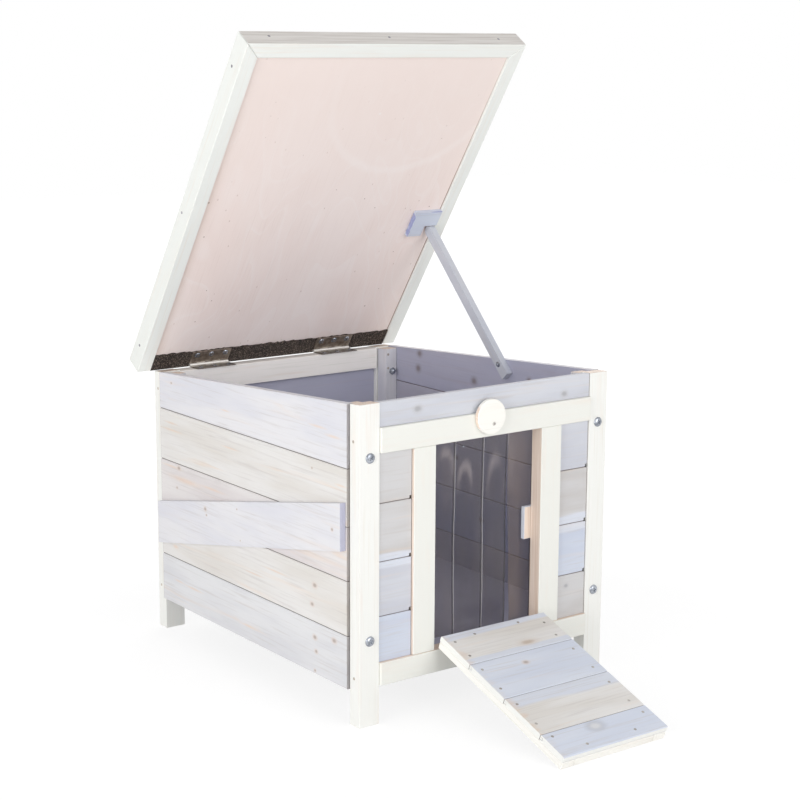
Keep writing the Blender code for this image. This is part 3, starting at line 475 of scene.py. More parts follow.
def washed_pine(name, place, grain, seed, tone, knots=(), resin=0.35, bands=(), raw=(), edges=(),
                gaps=(), white=(), edge_blue=BLUE_EDGE, worn=None, inside=(), knot_colours=DARK_KNOT,
                marks=(), notches=()):
    """A washed board. bands are the heights in millimetres where one board ends and the next starts, and
    tone is then a name for each. edges took more blue wash, gaps are dark joints, raw and white are faces
    left bare or painted white, inside lists faces that take a dark grey-blue painted shade, worn is a rubbed
    edge and its share, marks are orange streaks, and notches are corners where a tongue was cut short,
    each given a near-black painted shade."""
    material, shader, points = new_finish(name, place)
    facing = facings(place)
    tones = [tone] if isinstance(tone, str) else list(tone)
    base, second = TONES[tones[0]]
    moved = points
    if bands:
        height = axis_of(points, "z")
        count = None
        for band, next_tone in zip(bands, tones[1:]):
            above = sums("GREATER_THAN", height, band * MM)
            base = mix(above, base, TONES[next_tone][0])
            second = mix(above, second, TONES[next_tone][1])
            count = above if count is None else sums("ADD", count, above)
        spread = step("VectorMath", {0: (3.1, 5.3, 7.7), "Scale": count}, operation="SCALE")
        moved = vectors("ADD", points, spread)
    clouds = speckle(moved, grain_amounts(grain, 5, 26), seed)
    streaks = speckle(moved, grain_amounts(grain, 4, 75), seed + 3, distortion=0.6)
    lines = speckle(moved, grain_amounts(grain, 10, 330), seed + 5, detail=4.0, distortion=0.3)
    colour = mix(stretch(clouds, 0.36, 0.66), base, second)
    for axis, middle, reach in edges:
        away = off_line(axis_of(points, axis), middle * MM)
        ragged = waver(away, clouds, 0.02)
        colour = mix(stretch(ragged, reach * MM, reach * 0.7 * MM), colour, edge_blue)
    colour = mix(stretch(streaks, 0.56, 0.8, resin), colour, RESIN)
    colour = mix(stretch(lines, 0.5, 0.76, 0.42), colour, GRAIN_LINE)
    # Painted shade: the listed faces are mixed towards a dark grey-blue.
    if inside:
        share = sums("MULTIPLY", faces_mask(facing, inside, 0.2, 0.4), 0.62)
        colour = mix(share, colour, INSIDE_SHADE)
    colour = add_knots(points, colour, marks, seed + 60, STREAK, RESIN, 0.5)
    colour = add_knots(points, colour, knots, seed, *knot_colours)
    if raw:
        bare = mix(stretch(lines, 0.38, 0.7), RAW, RAW_GRAIN)
        colour = mix(faces_mask(facing, raw), colour, bare)
    if worn:
        axis, start, end, most = worn
        rubbed = waver(axis_of(points, axis), streaks, 0.05)
        colour = mix(stretch(rubbed, start * MM, end * MM, most), colour, RAW_GRAIN)
    if white:
        colour = mix(faces_mask(facing, white), colour, WHITE)
    colour = shade_gaps(points, colour, gaps)
    # Painted shade: each notch gets a near-black patch for the shade in the hollow where the tongue stops.
    for x, z in notches:
        sideways = off_line(axis_of(points, "x"), x * MM)
        upright = off_line(axis_of(points, "z"), (z + 1.6) * MM)
        share = stretch(upright, 2.5 * MM, 1.9 * MM)
        share = sums("MULTIPLY", stretch(sideways, 2.4 * MM, 1.9 * MM), share)
        colour = mix(share, colour, NOTCH_SHADE)
    surface(shader, colour, 0.68, 0.3)
    roughen(shader, lines, 0.35, 0.0007)
    return material


def wash(node, name, *recipe, **more):
    """Gives a CAD node a wash of its own."""
    dress(node, washed_pine("wash_" + name, *recipe, **more))


# The top of the floor takes the same painted shade.
wash("floor", "floor", "house", "y", 45, "grey", (), 0.4, inside=("+z",))

# %% [markdown]
# ## Side walls
# Each side wall is five boards joined by tongue and groove. The outside took the wash unevenly and shows
# resin where the sun drew it out. The inner faces take a painted shade, and the knots on the right wall's
# inner face a darker, shaded copy of the knot colours. A knot goes right through its board.

# %% Side walls
# Each row is a tone, a seed, the strength of the resin, the knots and the resin marks. A knot or a mark is
# its place along and up the wall, then its radii where they aren't the usual ones.
SIDE_BOARDS = {
    "left_board_5": (
        "lavender", 31, 0.3, [(447, 365, 2.4, 1.6)],
        [(303, 350, 9, 1.0), (84, 367, 15, 1.4), (50, 360, 13, 1.6)]),
    "left_board_4": (
        "beige", 32, 0.6, [(97, 312, 2, 1.4)],
        [(447, 298, 23, 1.3), (292, 301, 16, 1.1), (450, 308, 13, 1.2), (34, 302, 10, 1.2)]),
    "left_board_3": (
        "pink", 33, 0.5, [(430, 247, 4.5, 3), (436, 218, 2.4, 1.8)],
        [(449, 246, 20, 1.4), (412, 232, 34, 3.4), (339, 235, 24, 1.6)]),
    "left_board_2": (
        "beige", 34, 0.35, [(92, 162), (98, 136, 4, 3)],
        [(443, 131, 6, 2.4), (183, 158, 22, 1.2), (236, 142, 19, 1.0)]),
    "left_board_1": (
        "grey", 35, 0.45, [(92, 94, 4.6, 3.2), (89, 76, 3.4, 2.6), (49, 101, 5, 3.4), (92, 50, 2.6, 2)],
        [(435, 82, 10, 1.2), (394, 81, 19, 1.4), (250, 66, 9, 1.2)]),
    "right_board_5": (
        "lavender", 36, 0.3, [(404, 351, 6, 5.4), (271, 352, 6.4, 5.4), (401, 374, 6, 5), (150, 372)], []),
    "right_board_4": ("beige", 37, 0.4, [(360, 300)], []),
    "right_board_3": ("lavender", 38, 0.35, [(120, 214, 4, 3), (310, 232)], []),
    "right_board_2": ("blue", 39, 0.3, [(250, 150)], []),
    "right_board_1": ("beige", 40, 0.4, [(90, 84), (380, 70, 4, 3)], []),
}
SIDE_GAPS = [("z", z, 0.75) for z in (114.0, 184.0, 252.5, 325.0)] + [("y", 21.3, 0.6), ("y", 480.3, 0.8)]
# The right wall shows its inner face, so its knots take the darker, shaded copy of the knot colours.
SIDE_LOOKS = {"left": (("+x",), DARK_KNOT), "right": (("-x",), SHADED_KNOT)}
for board, (tone, seed, resin, knots, marks) in SIDE_BOARDS.items():
    node = "side_" + board
    inside, shades = SIDE_LOOKS[board.split("_")[0]]
    wash(node, node, "house", "y", seed, tone, [side_knot(*knot) for knot in knots], resin, gaps=SIDE_GAPS,
         marks=[side_knot(*mark) for mark in marks], inside=inside, knot_colours=shades)
print(len(SIDE_BOARDS), "boards in the side walls")

# %% [markdown]
# ## Front, back and small boards
# The front has four short boards on each side of the doorway, and the back has four long ones. The tongues
# of the front boards stop short of the right end, which leaves a small notch at each joint; the shade in
# each notch is painted in near black.

# %% Front, back and small boards
BOARD_JOINTS = (138, 207.5, 281)
LEVEL_GAPS = [("z", z, 0.7) for z in BOARD_JOINTS]
BACK_TONES = ("beige", "lavender", "grey", "lavender")
INFILLS = {
    "left": (41, ("sky", "mist", "sand", "sand"), [], 14, 80.2),
    "right": (42, ("sand", "sky", "sand", "mist"), [front_knot(337, 123, 4, 3)], 15, 369.7),
}
for side, (seed, tones, knots, blue_reach, right_joint) in INFILLS.items():
    wash("front_infill_" + side, "infill_" + side, "house", "x", seed, tones, knots, 0.25, BOARD_JOINTS,
         inside=("+y",), edges=[("z", 207.5, blue_reach)], gaps=LEVEL_GAPS + [("x", right_joint, 0.9)],
         knot_colours=GREY_KNOT, notches=[(right_joint - 1.5, z) for z in BOARD_JOINTS])
wash("back_boards", "back", "house", "x", 43, BACK_TONES,
     [front_knot(120, 170), front_knot(290, 240), front_knot(210, 310)],
     0.4, BOARD_JOINTS, gaps=LEVEL_GAPS, inside=("-y",))
wash("front_top_board", "top_board", "house", "x", 44, "mist",
     [front_knot(88, 392, 6.5, 4.6), front_knot(326, 384, 5.5, 4)], 0.25, inside=("+y",),
     gaps=[("x", 369.7, 0.9)], knot_colours=GREY_KNOT)
# The front end face of the sign gets the same painted shade.
wash("sign_plank", "sign", "house", "y", 46, "lavender",
     [side_knot(345, 208, 3.6, 2.8), side_knot(342, 200, 2, 1.6), side_knot(41, 247, 2.6, 2.2),
      side_knot(263, 225, 1.4, 1.2), side_knot(255, 184, 1.2, 1)], 0.2, inside=("-y",))
wash("curtain_batten", "curtain_batten", "house", "x", 47, "lavender", (), 0.3)
wash("stop_block", "stop_block", "house", "z", 48, "blue", (), 0.2, raw=("-y",))
wash("prop_stick", "prop", "prop", "z", 49, "slate", (), 0.2)
wash("lid_bracket", "bracket", "lid", "x", 50, "sky", (), 0.2,
     edges=[("x", 350.6, 1.6), ("y", -256.4, 1.2)], edge_blue=paint(158, 165, 205))
print("washed so far:", sum(m.name.startswith("wash_") for m in bpy.data.materials))

# %% [markdown]
# ## Ramp boards
# Paws and rain wear a ramp. Its boards were painted white at the ends and edges, and the wash is rubbed
# through to the raw wood on the left.

# %% Ramp boards
RAMP_BOARDS = {
    "ramp_board_1": (
        "beige", 51, [ramp_knot(221, 50, 13, 5)], [("y", -2.6, 15), ("y", -64.1, 10)], SOFT_KNOT, 0.4),
    "ramp_board_2": ("blue", 52, [ramp_knot(190, 84, 4.6, 3.4)], [], DARK_KNOT, 0.2),
    "ramp_board_3": ("beige", 53, [], [("y", -135.1, 24)], SOFT_KNOT, 0.55),
    "ramp_board_4": ("blue", 54, [ramp_knot(194, 217, 11, 7)], [], PALE_KNOT, 0.12),
}
RAMP_GAPS = [("y", -s, 0.6) for s in (64.1, 135.1, 206.1)]
for node, (tone, seed, knots, edges, shades, rubbed) in RAMP_BOARDS.items():
    wash(node, node, "ramp", "x", seed, tone, knots, 0.3, edges=edges, gaps=RAMP_GAPS,
         white=("-x", "+x", "-y", "+y"), worn=("x", 124, 112, rubbed), knot_colours=shades)
print(len(RAMP_BOARDS), "boards on the ramp")

# %% [markdown]
# ## Plywood
# The roof is one sheet of pinkish plywood. A rotary cut veneer shows fine grain all one way, pale wandering
# arcs, and small pits. The arcs are a stretched noise read where its value passes a half, which gives a
# thin bright line. The pits are the hearts of scattered cells.

# %% Plywood
VENEER = paint(248, 235, 230)
VENEER_DARK = paint(245, 229, 223)
VENEER_PALE = paint(253, 246, 243)
PIT = paint(190, 164, 152)
AGED = paint(240, 226, 220)
ARC_CENTRE = Vector((276, -477, 8)) * MM
ARC_RADIUS = 153 * MM
PALE_MARKS = [(219.1, 428.8, 2.6)]
DARK_MARKS = [
    (46.6, 450.6, 1.3), (46.3, 429.2, 1.1), (50.2, 395.4, 0.9), (239.4, 481.8, 1.1),
    (342.8, 405.7, 1.2), (343.3, 384.4, 1.2), (-2.4, 291.9, 2.0), (196.9, 302.4, 1.0),
    (251.6, 283.7, 1.2), (350.8, 274.2, 1.0), (374.3, 262.6, 1.3), (276.1, 266.4, 1.1),
    (343.5, 181.2, 1.1), (10.5, 516.4, 2.2), (371.3, 514.6, 1.5), (333.4, 77.5, 1.6),
    (42.6, 136.6, 1.1), (57.0, 116.6, 1.1), (41.9, 79.7, 1.2), (346.0, 110.2, 1.0), (8.3, 233.7, 1.4),
]


def spots(points, colour, centres, spot_colour, strength):
    """Small round marks at (x, s, radius) in millimetres."""
    for x, s, radius in centres:
        distance = away_from(points, (x * MM, -s * MM, 0), (1, 1, 0))[1]
        share = stretch(distance, radius * MM, radius * MM * 0.4, strength)
        colour = mix(share, colour, spot_colour)
    return colour


def plywood(name):
    """The sheet that carries the roof felt."""
    material, shader, points = new_finish(name, "lid")
    fibres = speckle(points, (520, 14, 520), 61, detail=4.0)
    clouds = speckle(points, (9, 4, 9), 62, distortion=0.5)
    rings = speckle(points, (7, 3.2, 7), 63, detail=1.0, distortion=1.4)
    colour = mix(stretch(clouds, 0.35, 0.68), VENEER, VENEER_DARK)
    bands = sums("FRACT", sums("MULTIPLY", rings, 9.0))
    colour = mix(stretch(bands, 0.7, 1.0, 0.22), colour, VENEER_PALE)
    colour = mix(stretch(fibres, 0.5, 0.8, 0.13), colour, PIT)
    cells = step("TexVoronoi", {"Vector": along(points, (60, 34, 60), 64), "Scale": 1.0}, "Distance")
    colour = mix(stretch(cells, 0.075, 0.03, 0.5), colour, PIT)
    colour = spots(points, colour, DARK_MARKS, paint(150, 120, 104), 0.75)
    colour = spots(points, colour, PALE_MARKS, paint(253, 252, 251), 0.9)
    far = away_from(points, ARC_CENTRE)[1]
    far = sums("ADD", far, sums("MULTIPLY", clouds, 0.02))
    arc = stretch(off_line(far, ARC_RADIUS), 10 * MM, 1 * MM, 0.35)
    colour = mix(arc, colour, VENEER_PALE)
    # Painted shadow: a tan band along the left edge stands in for the shadow of the left rail on the sheet.
    rail_shadow = stretch(axis_of(points, "x"), 12 * MM, -6 * MM, 0.3)
    colour = mix(rail_shadow, colour, RAW_GRAIN)
    colour = shade_gaps(points, colour, [("x", 397.4, 1.8)], paint(138, 92, 74))
    age = stretch(axis_of(points, "y"), -240 * MM, -520 * MM, 0.85)
    colour = mix(age, colour, AGED)
    surface(shader, colour, 0.6, 0.3)
    roughen(shader, fibres, 0.1, 0.0003)
    return material


dress("lid_panel", plywood("roof_plywood"))

# %% [markdown]
# ## Felt and steel
# Roof felt is tar with grit pressed into it: a dark colour, grains of two sizes and a strong bump. Zinc
# plate is a metal whose roughness changes in soft patches.

# %% Felt and steel
def roof_felt(name):
    """Tarred felt with mineral grit."""
    material, shader, points = new_finish(name, "lid")
    cells = {"Vector": along(points, (900, 900, 900), 71), "Scale": 1.0}
    grit = step("TexVoronoi", cells, "Distance")
    fine = speckle(points, (620, 620, 620), 72, detail=4.0)
    patches = speckle(points, (40, 40, 40), 73)
    colour = mix(stretch(patches, 0.35, 0.7), paint(42, 34, 30), paint(58, 48, 42))
    colour = mix(stretch(fine, 0.48, 0.68), colour, paint(134, 119, 108))
    surface(shader, colour, 0.92)
    height = sums("ADD", grit, fine)
    roughen(shader, height, 0.9, 0.0012)
    return material


def zinc(name, place, bright, dull, rough, seed, barrel=None):
    """Zinc plated steel, bright and dull in patches. The barrel of a hinge is painted near white, partly its
    paler silver and partly a painted highlight on its round; its height above the hinge place is given."""
    material, shader, points = new_finish(name, place)
    patches = speckle(points, (150, 150, 150), seed)
    metal = mix(stretch(patches, 0.3, 0.7), paint(*bright), paint(*dull))
    if barrel is not None:
        # Painted highlight: the barrel is painted near white, over its paler silver.
        reach = away_from(points, (0, 0, barrel * MM), (0, 1, 1))[1]
        metal = mix(stretch(reach, 3.2 * MM, 2.7 * MM), metal, paint(236, 233, 229))
    scratches = speckle(points, (90, 1300, 1300), seed + 1)
    spread = step("MapRange", {"Value": patches, "To Min": rough - 0.08, "To Max": rough + 0.1})
    surface(shader, metal, spread)
    shader.inputs["Metallic"].default_value = 0.9
    roughen(shader, scratches, 0.12, 0.0002)
    return material


hinge_zinc = zinc("hinge_zinc", "lid", (182, 171, 160), (138, 126, 116), 0.42, 81, barrel=-1.3)
house_zinc = zinc("house_zinc", "house", (206, 197, 186), (176, 165, 153), 0.4, 83)
rail_zinc = zinc("rail_zinc", "axle", (158, 149, 140), (124, 115, 107), 0.42, 83, barrel=0.0)
ramp_zinc = zinc("ramp_zinc", "ramp", (170, 166, 160), (138, 132, 126), 0.42, 85)
screw_zinc = zinc("screw_zinc", "house", (186, 191, 199), (134, 139, 148), 0.26, 87)
for side in ("left", "right"):
    dress(f"lid_hinge_{side}_lid_leaf", hinge_zinc)
    dress(f"lid_hinge_{side}_rail_leaf", rail_zinc)
    dress(f"ramp_hinge_{side}_sill_leaf", house_zinc)
    dress(f"ramp_hinge_{side}_ramp_leaf", ramp_zinc)


print("made", len(bpy.data.materials), "materials")

# %% [markdown]
# ## Clear plastic
# The curtain is soft clear plastic, so most of the light goes through. Its greys are partly a tint and
# partly painted shade for the dark house behind it, and its haze is uneven. One cut edge has a pale painted
# highlight and the other a dark painted shade, and a pale arch near the top of some strips is a painted
# glint.

# %% Clear plastic
LEAST_HAZE, MOST_HAZE, EDGE_BAND_OPACITY = 0.2, 0.36, 0.25


def clear_plastic(name, left, right, seed, painted_glint=None, tint_and_shade_tones=()):
    """A clear strip. left and right are its edges in millimetres across the house, then come the middle and
    the radii of a pale arch painted on as a glint, and two greys that stand for a grey tint of the plastic
    and for the shade in the house seen through it."""
    material, shader, points = new_finish(name, "house")
    x = axis_of(points, "x")
    # Painted highlight on one cut edge and painted shade on the other, as pale and near-black bands.
    edge_highlight = stretch(x, (left + 1.0) * MM, (left + 0.6) * MM)
    edge_shade = stretch(x, (right - 2.0) * MM, (right - 1.0) * MM)
    haze = speckle(points, (45, 45, 9), seed, detail=1.0)
    body = step("MapRange", {"Value": haze, "To Min": LEAST_HAZE, "To Max": MOST_HAZE})
    edge = sums("MULTIPLY", sums("MAXIMUM", edge_highlight, edge_shade), EDGE_BAND_OPACITY)
    # Painted shade: the strip's greys are dark, partly a tint of the plastic and partly the shade in the
    # house behind it.
    tint_and_shade = mix(stretch(haze, 0.35, 0.7), *tint_and_shade_tones)
    tint_and_shade = mix(edge_highlight, tint_and_shade, paint(206, 204, 206))
    tint_and_shade = mix(sums("MULTIPLY", edge_shade, 0.6), tint_and_shade, paint(30, 27, 28))
    # Painted glint: a pale arch near the top of the strip stands in for light caught on the bent plastic.
    if painted_glint:
        x_middle, z_middle, x_radius, z_radius = painted_glint
        centre = (x_middle * MM, 0, z_middle * MM)
        shrink = (1000 / x_radius, 0, 1000 / z_radius)
        away, ring = away_from(points, centre, shrink)
        ring = stretch(off_line(ring, 1.0), 0.45, 0.0)
        arch = sums("MULTIPLY", ring, stretch(axis_of(away, "z"), -0.9, 0.9))
        arch = sums("MULTIPLY", arch, stretch(haze, 0.3, 0.6, 0.6))
        tint_and_shade = mix(arch, tint_and_shade, paint(196, 184, 178))
    surface(shader, tint_and_shade, 0.09)
    fill(shader, {"Alpha": sums("ADD", body, edge), "IOR": 1.5})
    ripples = speckle(points, (60, 60, 14), seed + 1, detail=1.0)
    roughen(shader, ripples, 0.5, 0.004)
    return material


print("a strip lets through at least", round(1 - MOST_HAZE - EDGE_BAND_OPACITY, 2), "of the light")

# %% [markdown]
# ## Shaping with Blender's own tools
# New pieces start as a primitive and are shaped in edit mode. A tool acts on all that is selected, so each
# new piece starts with nothing else selected. It is shaped with simple numbers, in millimetres times MM,
# and set in its place as the last step.

# %% Helpers for shaping
def start_fresh():
    """Leaves edit mode and selects nothing."""
    if bpy.context.object and bpy.context.object.mode != "OBJECT":
        bpy.ops.object.mode_set(mode="OBJECT")
    bpy.ops.object.select_all(action="DESELECT")


def block(name, low, high):
    """A block between two corners in millimetres, left selected and active."""
    start_fresh()
    middle = [(a + b) / 2 * MM for a, b in zip(low, high)]
    sides = [(b - a) * MM for a, b in zip(low, high)]
    bpy.ops.mesh.primitive_cube_add(size=1, location=middle, scale=sides)
    piece = bpy.context.object
    piece.name = name
    piece.data.name = name
    bpy.ops.object.transform_apply()
    return piece


def switch(mode):
    """Goes into edit mode or back to object mode."""
    bpy.ops.object.mode_set(mode=mode)


def use_modifier(piece, name, kind, **settings):
    """Adds a modifier with its settings, and applies it."""
    modifier = piece.modifiers.new(name, kind)
    for key, value in settings.items():
        setattr(modifier, key, value)
    bpy.context.view_layer.objects.active = piece
    bpy.ops.object.modifier_apply(modifier=modifier.name)


def soften(piece, width, segments=2):
    """Rounds every sharp edge by a width in millimetres and shades the piece smooth."""
    use_modifier(piece, "soften", "BEVEL", width=width * MM, segments=segments, limit_method="ANGLE")
    bpy.ops.object.shade_smooth_by_angle(angle=math.radians(40))
    use_modifier(piece, "flats", "WEIGHTED_NORMAL", keep_sharp=True)


def set_down(piece, place, body, material):
    """Sets a piece in its place, gives it its finish and lets it move with its body."""
    piece.matrix_world = PLACES[place][0] @ piece.matrix_world
    start_fresh()
    piece.select_set(True)
    bpy.context.view_layer.objects.active = piece
    bpy.ops.object.transform_apply()
    piece.data.materials.clear()
    piece.data.materials.append(material)
    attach(piece, body)
    return piece


# %% [markdown]
# ## Posts and corner battens
# Each corner is a square post with a batten behind it, and bolts clamp the wall boards between the two.
# The tops follow the slope of the roof, so each is a tall block cut by a sloping plane. Bisect does what
# the saw does: it cuts, throws the offcut away and closes the sawn face.

# %% Posts and battens
ROOF_RUN = 500.8
ROOF_DROP = 32.8
FRONT_TOP = 406.7
roof_normal = Vector((0, ROOF_DROP, ROOF_RUN)).normalized()
UNCUT = 430
POST_WIDE, POST_DEEP = 30, 20.5
BATTEN_WIDE, BATTEN_DEEP, BATTEN_FOOT = 20, 22, 70.3
CORNERS = {
    "front_left": ((0, 0), (6.8, 20.8)),
    "front_right": ((370, 0), (373.2, 20.8)),
    "back_left": ((0, 480.3), (6.8, 458)),
    "back_right": ((370, 480.3), (373.2, 458)),
}


def saw_to_roof(piece, below):
    """Cuts the top of a block along the roof slope, some millimetres below it."""
    switch("EDIT")
    bpy.ops.mesh.select_all(action="SELECT")
    cut_at = Vector((0, 0, FRONT_TOP - below)) * MM
    bpy.ops.mesh.bisect(plane_co=cut_at, plane_no=roof_normal, use_fill=True, clear_outer=True)
    switch("OBJECT")


for number, (corner, ((x, y), (batten_x, batten_y))) in enumerate(CORNERS.items()):
    post = block(corner + "_post", (x, y, 0), (x + POST_WIDE, y + POST_DEEP, UNCUT))
    saw_to_roof(post, 0)
    soften(post, 0.9)
    finish = white_paint("white_post_" + corner, "house", "z", 91 + number, ("+z", "-z"))
    set_down(post, "house", "house", finish)
    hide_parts("post_" + corner)
    far_side = (batten_x + BATTEN_WIDE, batten_y + BATTEN_DEEP, UNCUT)
    batten = block(corner + "_inner_batten", (batten_x, batten_y, BATTEN_FOOT), far_side)
    saw_to_roof(batten, 2.0)
    soften(batten, 1.0)
    finish = washed_pine(
        "wash_batten_" + corner, "house", "z", 95 + number, "lavender", (), 0.25, raw=("+z",))
    set_down(batten, "house", "house", finish)
    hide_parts("corner_batten_" + corner)
print("four posts and four battens stand up to", FRONT_TOP, "mm")

# %% [markdown]
# ## A bolt head and a domed nut
# Eight bolts hold the corners. The head is a low dome with a cross for the driver. It grows from a flat
# disc ring by ring: extrude lifts a ring, resize narrows it. The cross is cut out with a Boolean. The other
# end of each bolt carries a domed nut, grown in the same way from a six-sided foot.

# %% Bolt head and nut
def pick(piece, wanted, kind="faces"):
    """In edit mode, selects the faces or edges that pass a test of the part and its middle."""
    bpy.ops.mesh.select_mode(type={"faces": "FACE", "edges": "EDGE"}[kind])
    bpy.ops.mesh.select_all(action="DESELECT")
    shape = bmesh.from_edit_mesh(piece.data)
    for part in getattr(shape, kind):
        if wanted(part, sum((v.co for v in part.verts), Vector()) / len(part.verts)):
            part.select_set(True)
    shape.select_flush_mode()
    bmesh.update_edit_mesh(piece.data)


def draw_out(x, y, z):
    """Extrudes what is selected by some millimetres."""
    bpy.ops.mesh.extrude_region_move(TRANSFORM_OT_translate={"value": (x * MM, y * MM, z * MM)})


def grow(piece, start_radius, rings):
    """From the top face of a disc at the origin, adds rings of (radius, height) in millimetres."""
    switch("EDIT")
    pick(piece, lambda face, middle: face.normal.z > 0.9)
    radius = start_radius
    height = max(v.co.z for v in bmesh.from_edit_mesh(piece.data).verts) / MM
    for next_radius, next_height in rings:
        draw_out(0, 0, next_height - height)
        narrow = next_radius / radius
        bpy.ops.transform.resize(value=(narrow, narrow, 1), center_override=(0, 0, next_height * MM))
        radius, height = next_radius, next_height
    switch("OBJECT")


def disc(name, radius, thick, sides=32):
    """A flat disc that stands on the origin, in millimetres."""
    start_fresh()
    middle = (0, 0, thick / 2 * MM)
    bpy.ops.mesh.primitive_cylinder_add(
        vertices=sides, radius=radius * MM, depth=thick * MM, location=middle)
    piece = bpy.context.object
    piece.name = name
    bpy.ops.object.transform_apply()
    return piece


def cut_cross(piece, reach, width, top_height, depth):
    """Cuts the cross for a driver into a head."""
    foot, top_side = top_height - depth, top_height + 2
    arms = block("cross_arms", (-reach, -width, foot), (reach, width, top_side))
    other = block("cross_arms_too", (-width, -reach, foot), (width, reach, top_side))
    for cutter in (arms, other):
        use_modifier(piece, "cross", "BOOLEAN", object=cutter, operation="DIFFERENCE", solver="EXACT")
        bpy.data.objects.remove(cutter)


HEAD_RADIUS = 6.5
NUT_RADIUS = 5.6
head = disc("bolt_head_master", HEAD_RADIUS, 0.7)
grow(head, HEAD_RADIUS, [(6.2, 1.3), (5.3, 2.1), (3.9, 2.7), (2.0, 2.95), (0.6, 3.0)])
cut_cross(head, 2.7, 0.62, 3.0, 1.4)
soften(head, 0.12, 1)
nut = disc("domed_nut_master", NUT_RADIUS, 2.6, 6)
grow(nut, NUT_RADIUS, [(4.6, 2.7), (4.5, 4.4), (3.8, 5.5), (2.4, 6.2), (0.8, 6.5)])
soften(nut, 0.15, 1)
print("a bolt head has", len(head.data.vertices), "corners, and a nut", len(nut.data.vertices))

# %% [markdown]
# ## Bolts in the corners
# Each corner has one bolt low and one high, with the head outside and the nut inside. Each bolt is turned
# by another angle, as nobody lines up the crosses.

# %% Bolts in the corners
def copy_of(master, name, spot, turn=None):
    """A copy with its own mesh, set at a spot in millimetres and turned by a matrix."""
    twin = master.copy()
    twin.data = master.data.copy()
    twin.name = name
    twin.data.name = name
    studio.collection.objects.link(twin)
    twin.matrix_world = Matrix.Translation(Vector(spot) * MM) @ (turn or Matrix())
    return twin


TO_FRONT = turned(90, "X")
TO_BACK = turned(-90, "X")
BOLT_X = {"left": 15.5, "right": 384.5}
BOLT_ENDS = {"front": (0, 42.8, TO_FRONT, TO_BACK), "back": (500.8, 458, TO_BACK, TO_FRONT)}
BOLT_LEVELS = {"low": 110, "high": 340}
bolt_number = 0
for corner in CORNERS:
    wall, side = corner.split("_")
    head_y, nut_y, head_turn, nut_turn = BOLT_ENDS[wall]
    for level, bolt_z in BOLT_LEVELS.items():
        bolt_number += 1
        twist = Matrix.Rotation(0.5 * bolt_number, 4, "Z")
        bolt = copy_of(head, f"{corner}_bolt_{level}", (BOLT_X[side], head_y, bolt_z), head_turn @ twist)
        cap = copy_of(nut, f"{corner}_nut_{level}", (BOLT_X[side], nut_y, bolt_z), nut_turn @ twist)
        for piece in (bolt, cap):
            set_down(piece, "house", "house", screw_zinc)
for master in (head, nut):
    bpy.data.objects.remove(master)
print(bolt_number, "bolts are in")

# %% [markdown]
# ## Nails and screws
# Small fasteners tell the eye how big a thing is. The ramp boards and the roof rails are nailed, and each
# hinge leaf has three screws. One nail and one screw are made, then copied to where the real ones are.
# All the nails of one part are joined, so that the part stays one thing to move.

# %% Nails and screws
def join_all(pieces, name):
    """Joins several objects into one."""
    start_fresh()
    for piece in pieces:
        piece.select_set(True)
    bpy.context.view_layer.objects.active = pieces[0]
    bpy.ops.object.join()
    whole = bpy.context.object
    whole.name = name
    whole.data.name = name
    bpy.ops.object.transform_apply()
    return whole


nail = disc("nail_master", 1.9, 0.16, 16)
grow(nail, 1.9, [(1.6, 0.36), (0.8, 0.45)])
screw = disc("screw_master", 3.5, 0.25, 24)
grow(screw, 3.5, [(3.1, 0.7), (1.8, 0.95), (0.5, 1.0)])
cut_cross(screw, 1.8, 0.4, 1.0, 0.6)

RAMP_TOP = 20.8
RAMP_NAILS = [
    (126, 19), (127, 49), (162, 13), (235, 11), (270, 22.6), (268, 50), (125, 78), (124, 117), (271, 82),
    (270.5, 122), (124.6, 149), (124, 187.5), (270.5, 154), (270, 192.6), (128, 214), (161, 240),
    (272, 217), (238.6, 240),
]
TO_LEFT = turned(-90, "Y")
TO_RIGHT = turned(90, "Y")
ROOF_NAILS = [
    (-27.3, -497, 16.5, TO_LEFT), (-27.3, -265, 19, TO_LEFT), (-27.3, -34, 15, TO_LEFT),
    (12.2, -541, 17, TO_FRONT), (196.4, -541, 16, TO_FRONT), (377.9, -541, 13.6, TO_FRONT),
    (418.7, -497, 16, TO_RIGHT), (418.7, -265, 17, TO_RIGHT), (418.7, -34, 16, TO_RIGHT),
]
POST_NAILS = [(13, 360), (11, 62), (493, 62), (491, 350)]
POST_NAILS = [(x, y, z, turn) for x, turn in ((0, TO_LEFT), (400, TO_RIGHT)) for y, z in POST_NAILS]
POST_NAILS += [(x, 458, z, TO_FRONT) for x in (22.9, 377.1) for z in (366, 345)]
HINGE_SCREWS = (63.6, 86.5, 109.4, 276.1, 299, 321.9)
WIDER = Matrix.Diagonal((1.25, 1.25, 1.1, 1))
FLIP = turned(180, "X")
PIN_SIZE, BUTTON_NAIL_SIZE, PROP_SCREW_SIZE = (Matrix.Scale(size, 4) for size in (0.7, 1.3, 1.15))
nail_zinc = zinc("nail_zinc", "ramp", (186, 182, 177), (142, 136, 131), 0.4, 89)
roof_nail_zinc = zinc("roof_nail_zinc", "lid", (176, 174, 180), (134, 130, 136), 0.4, 90)
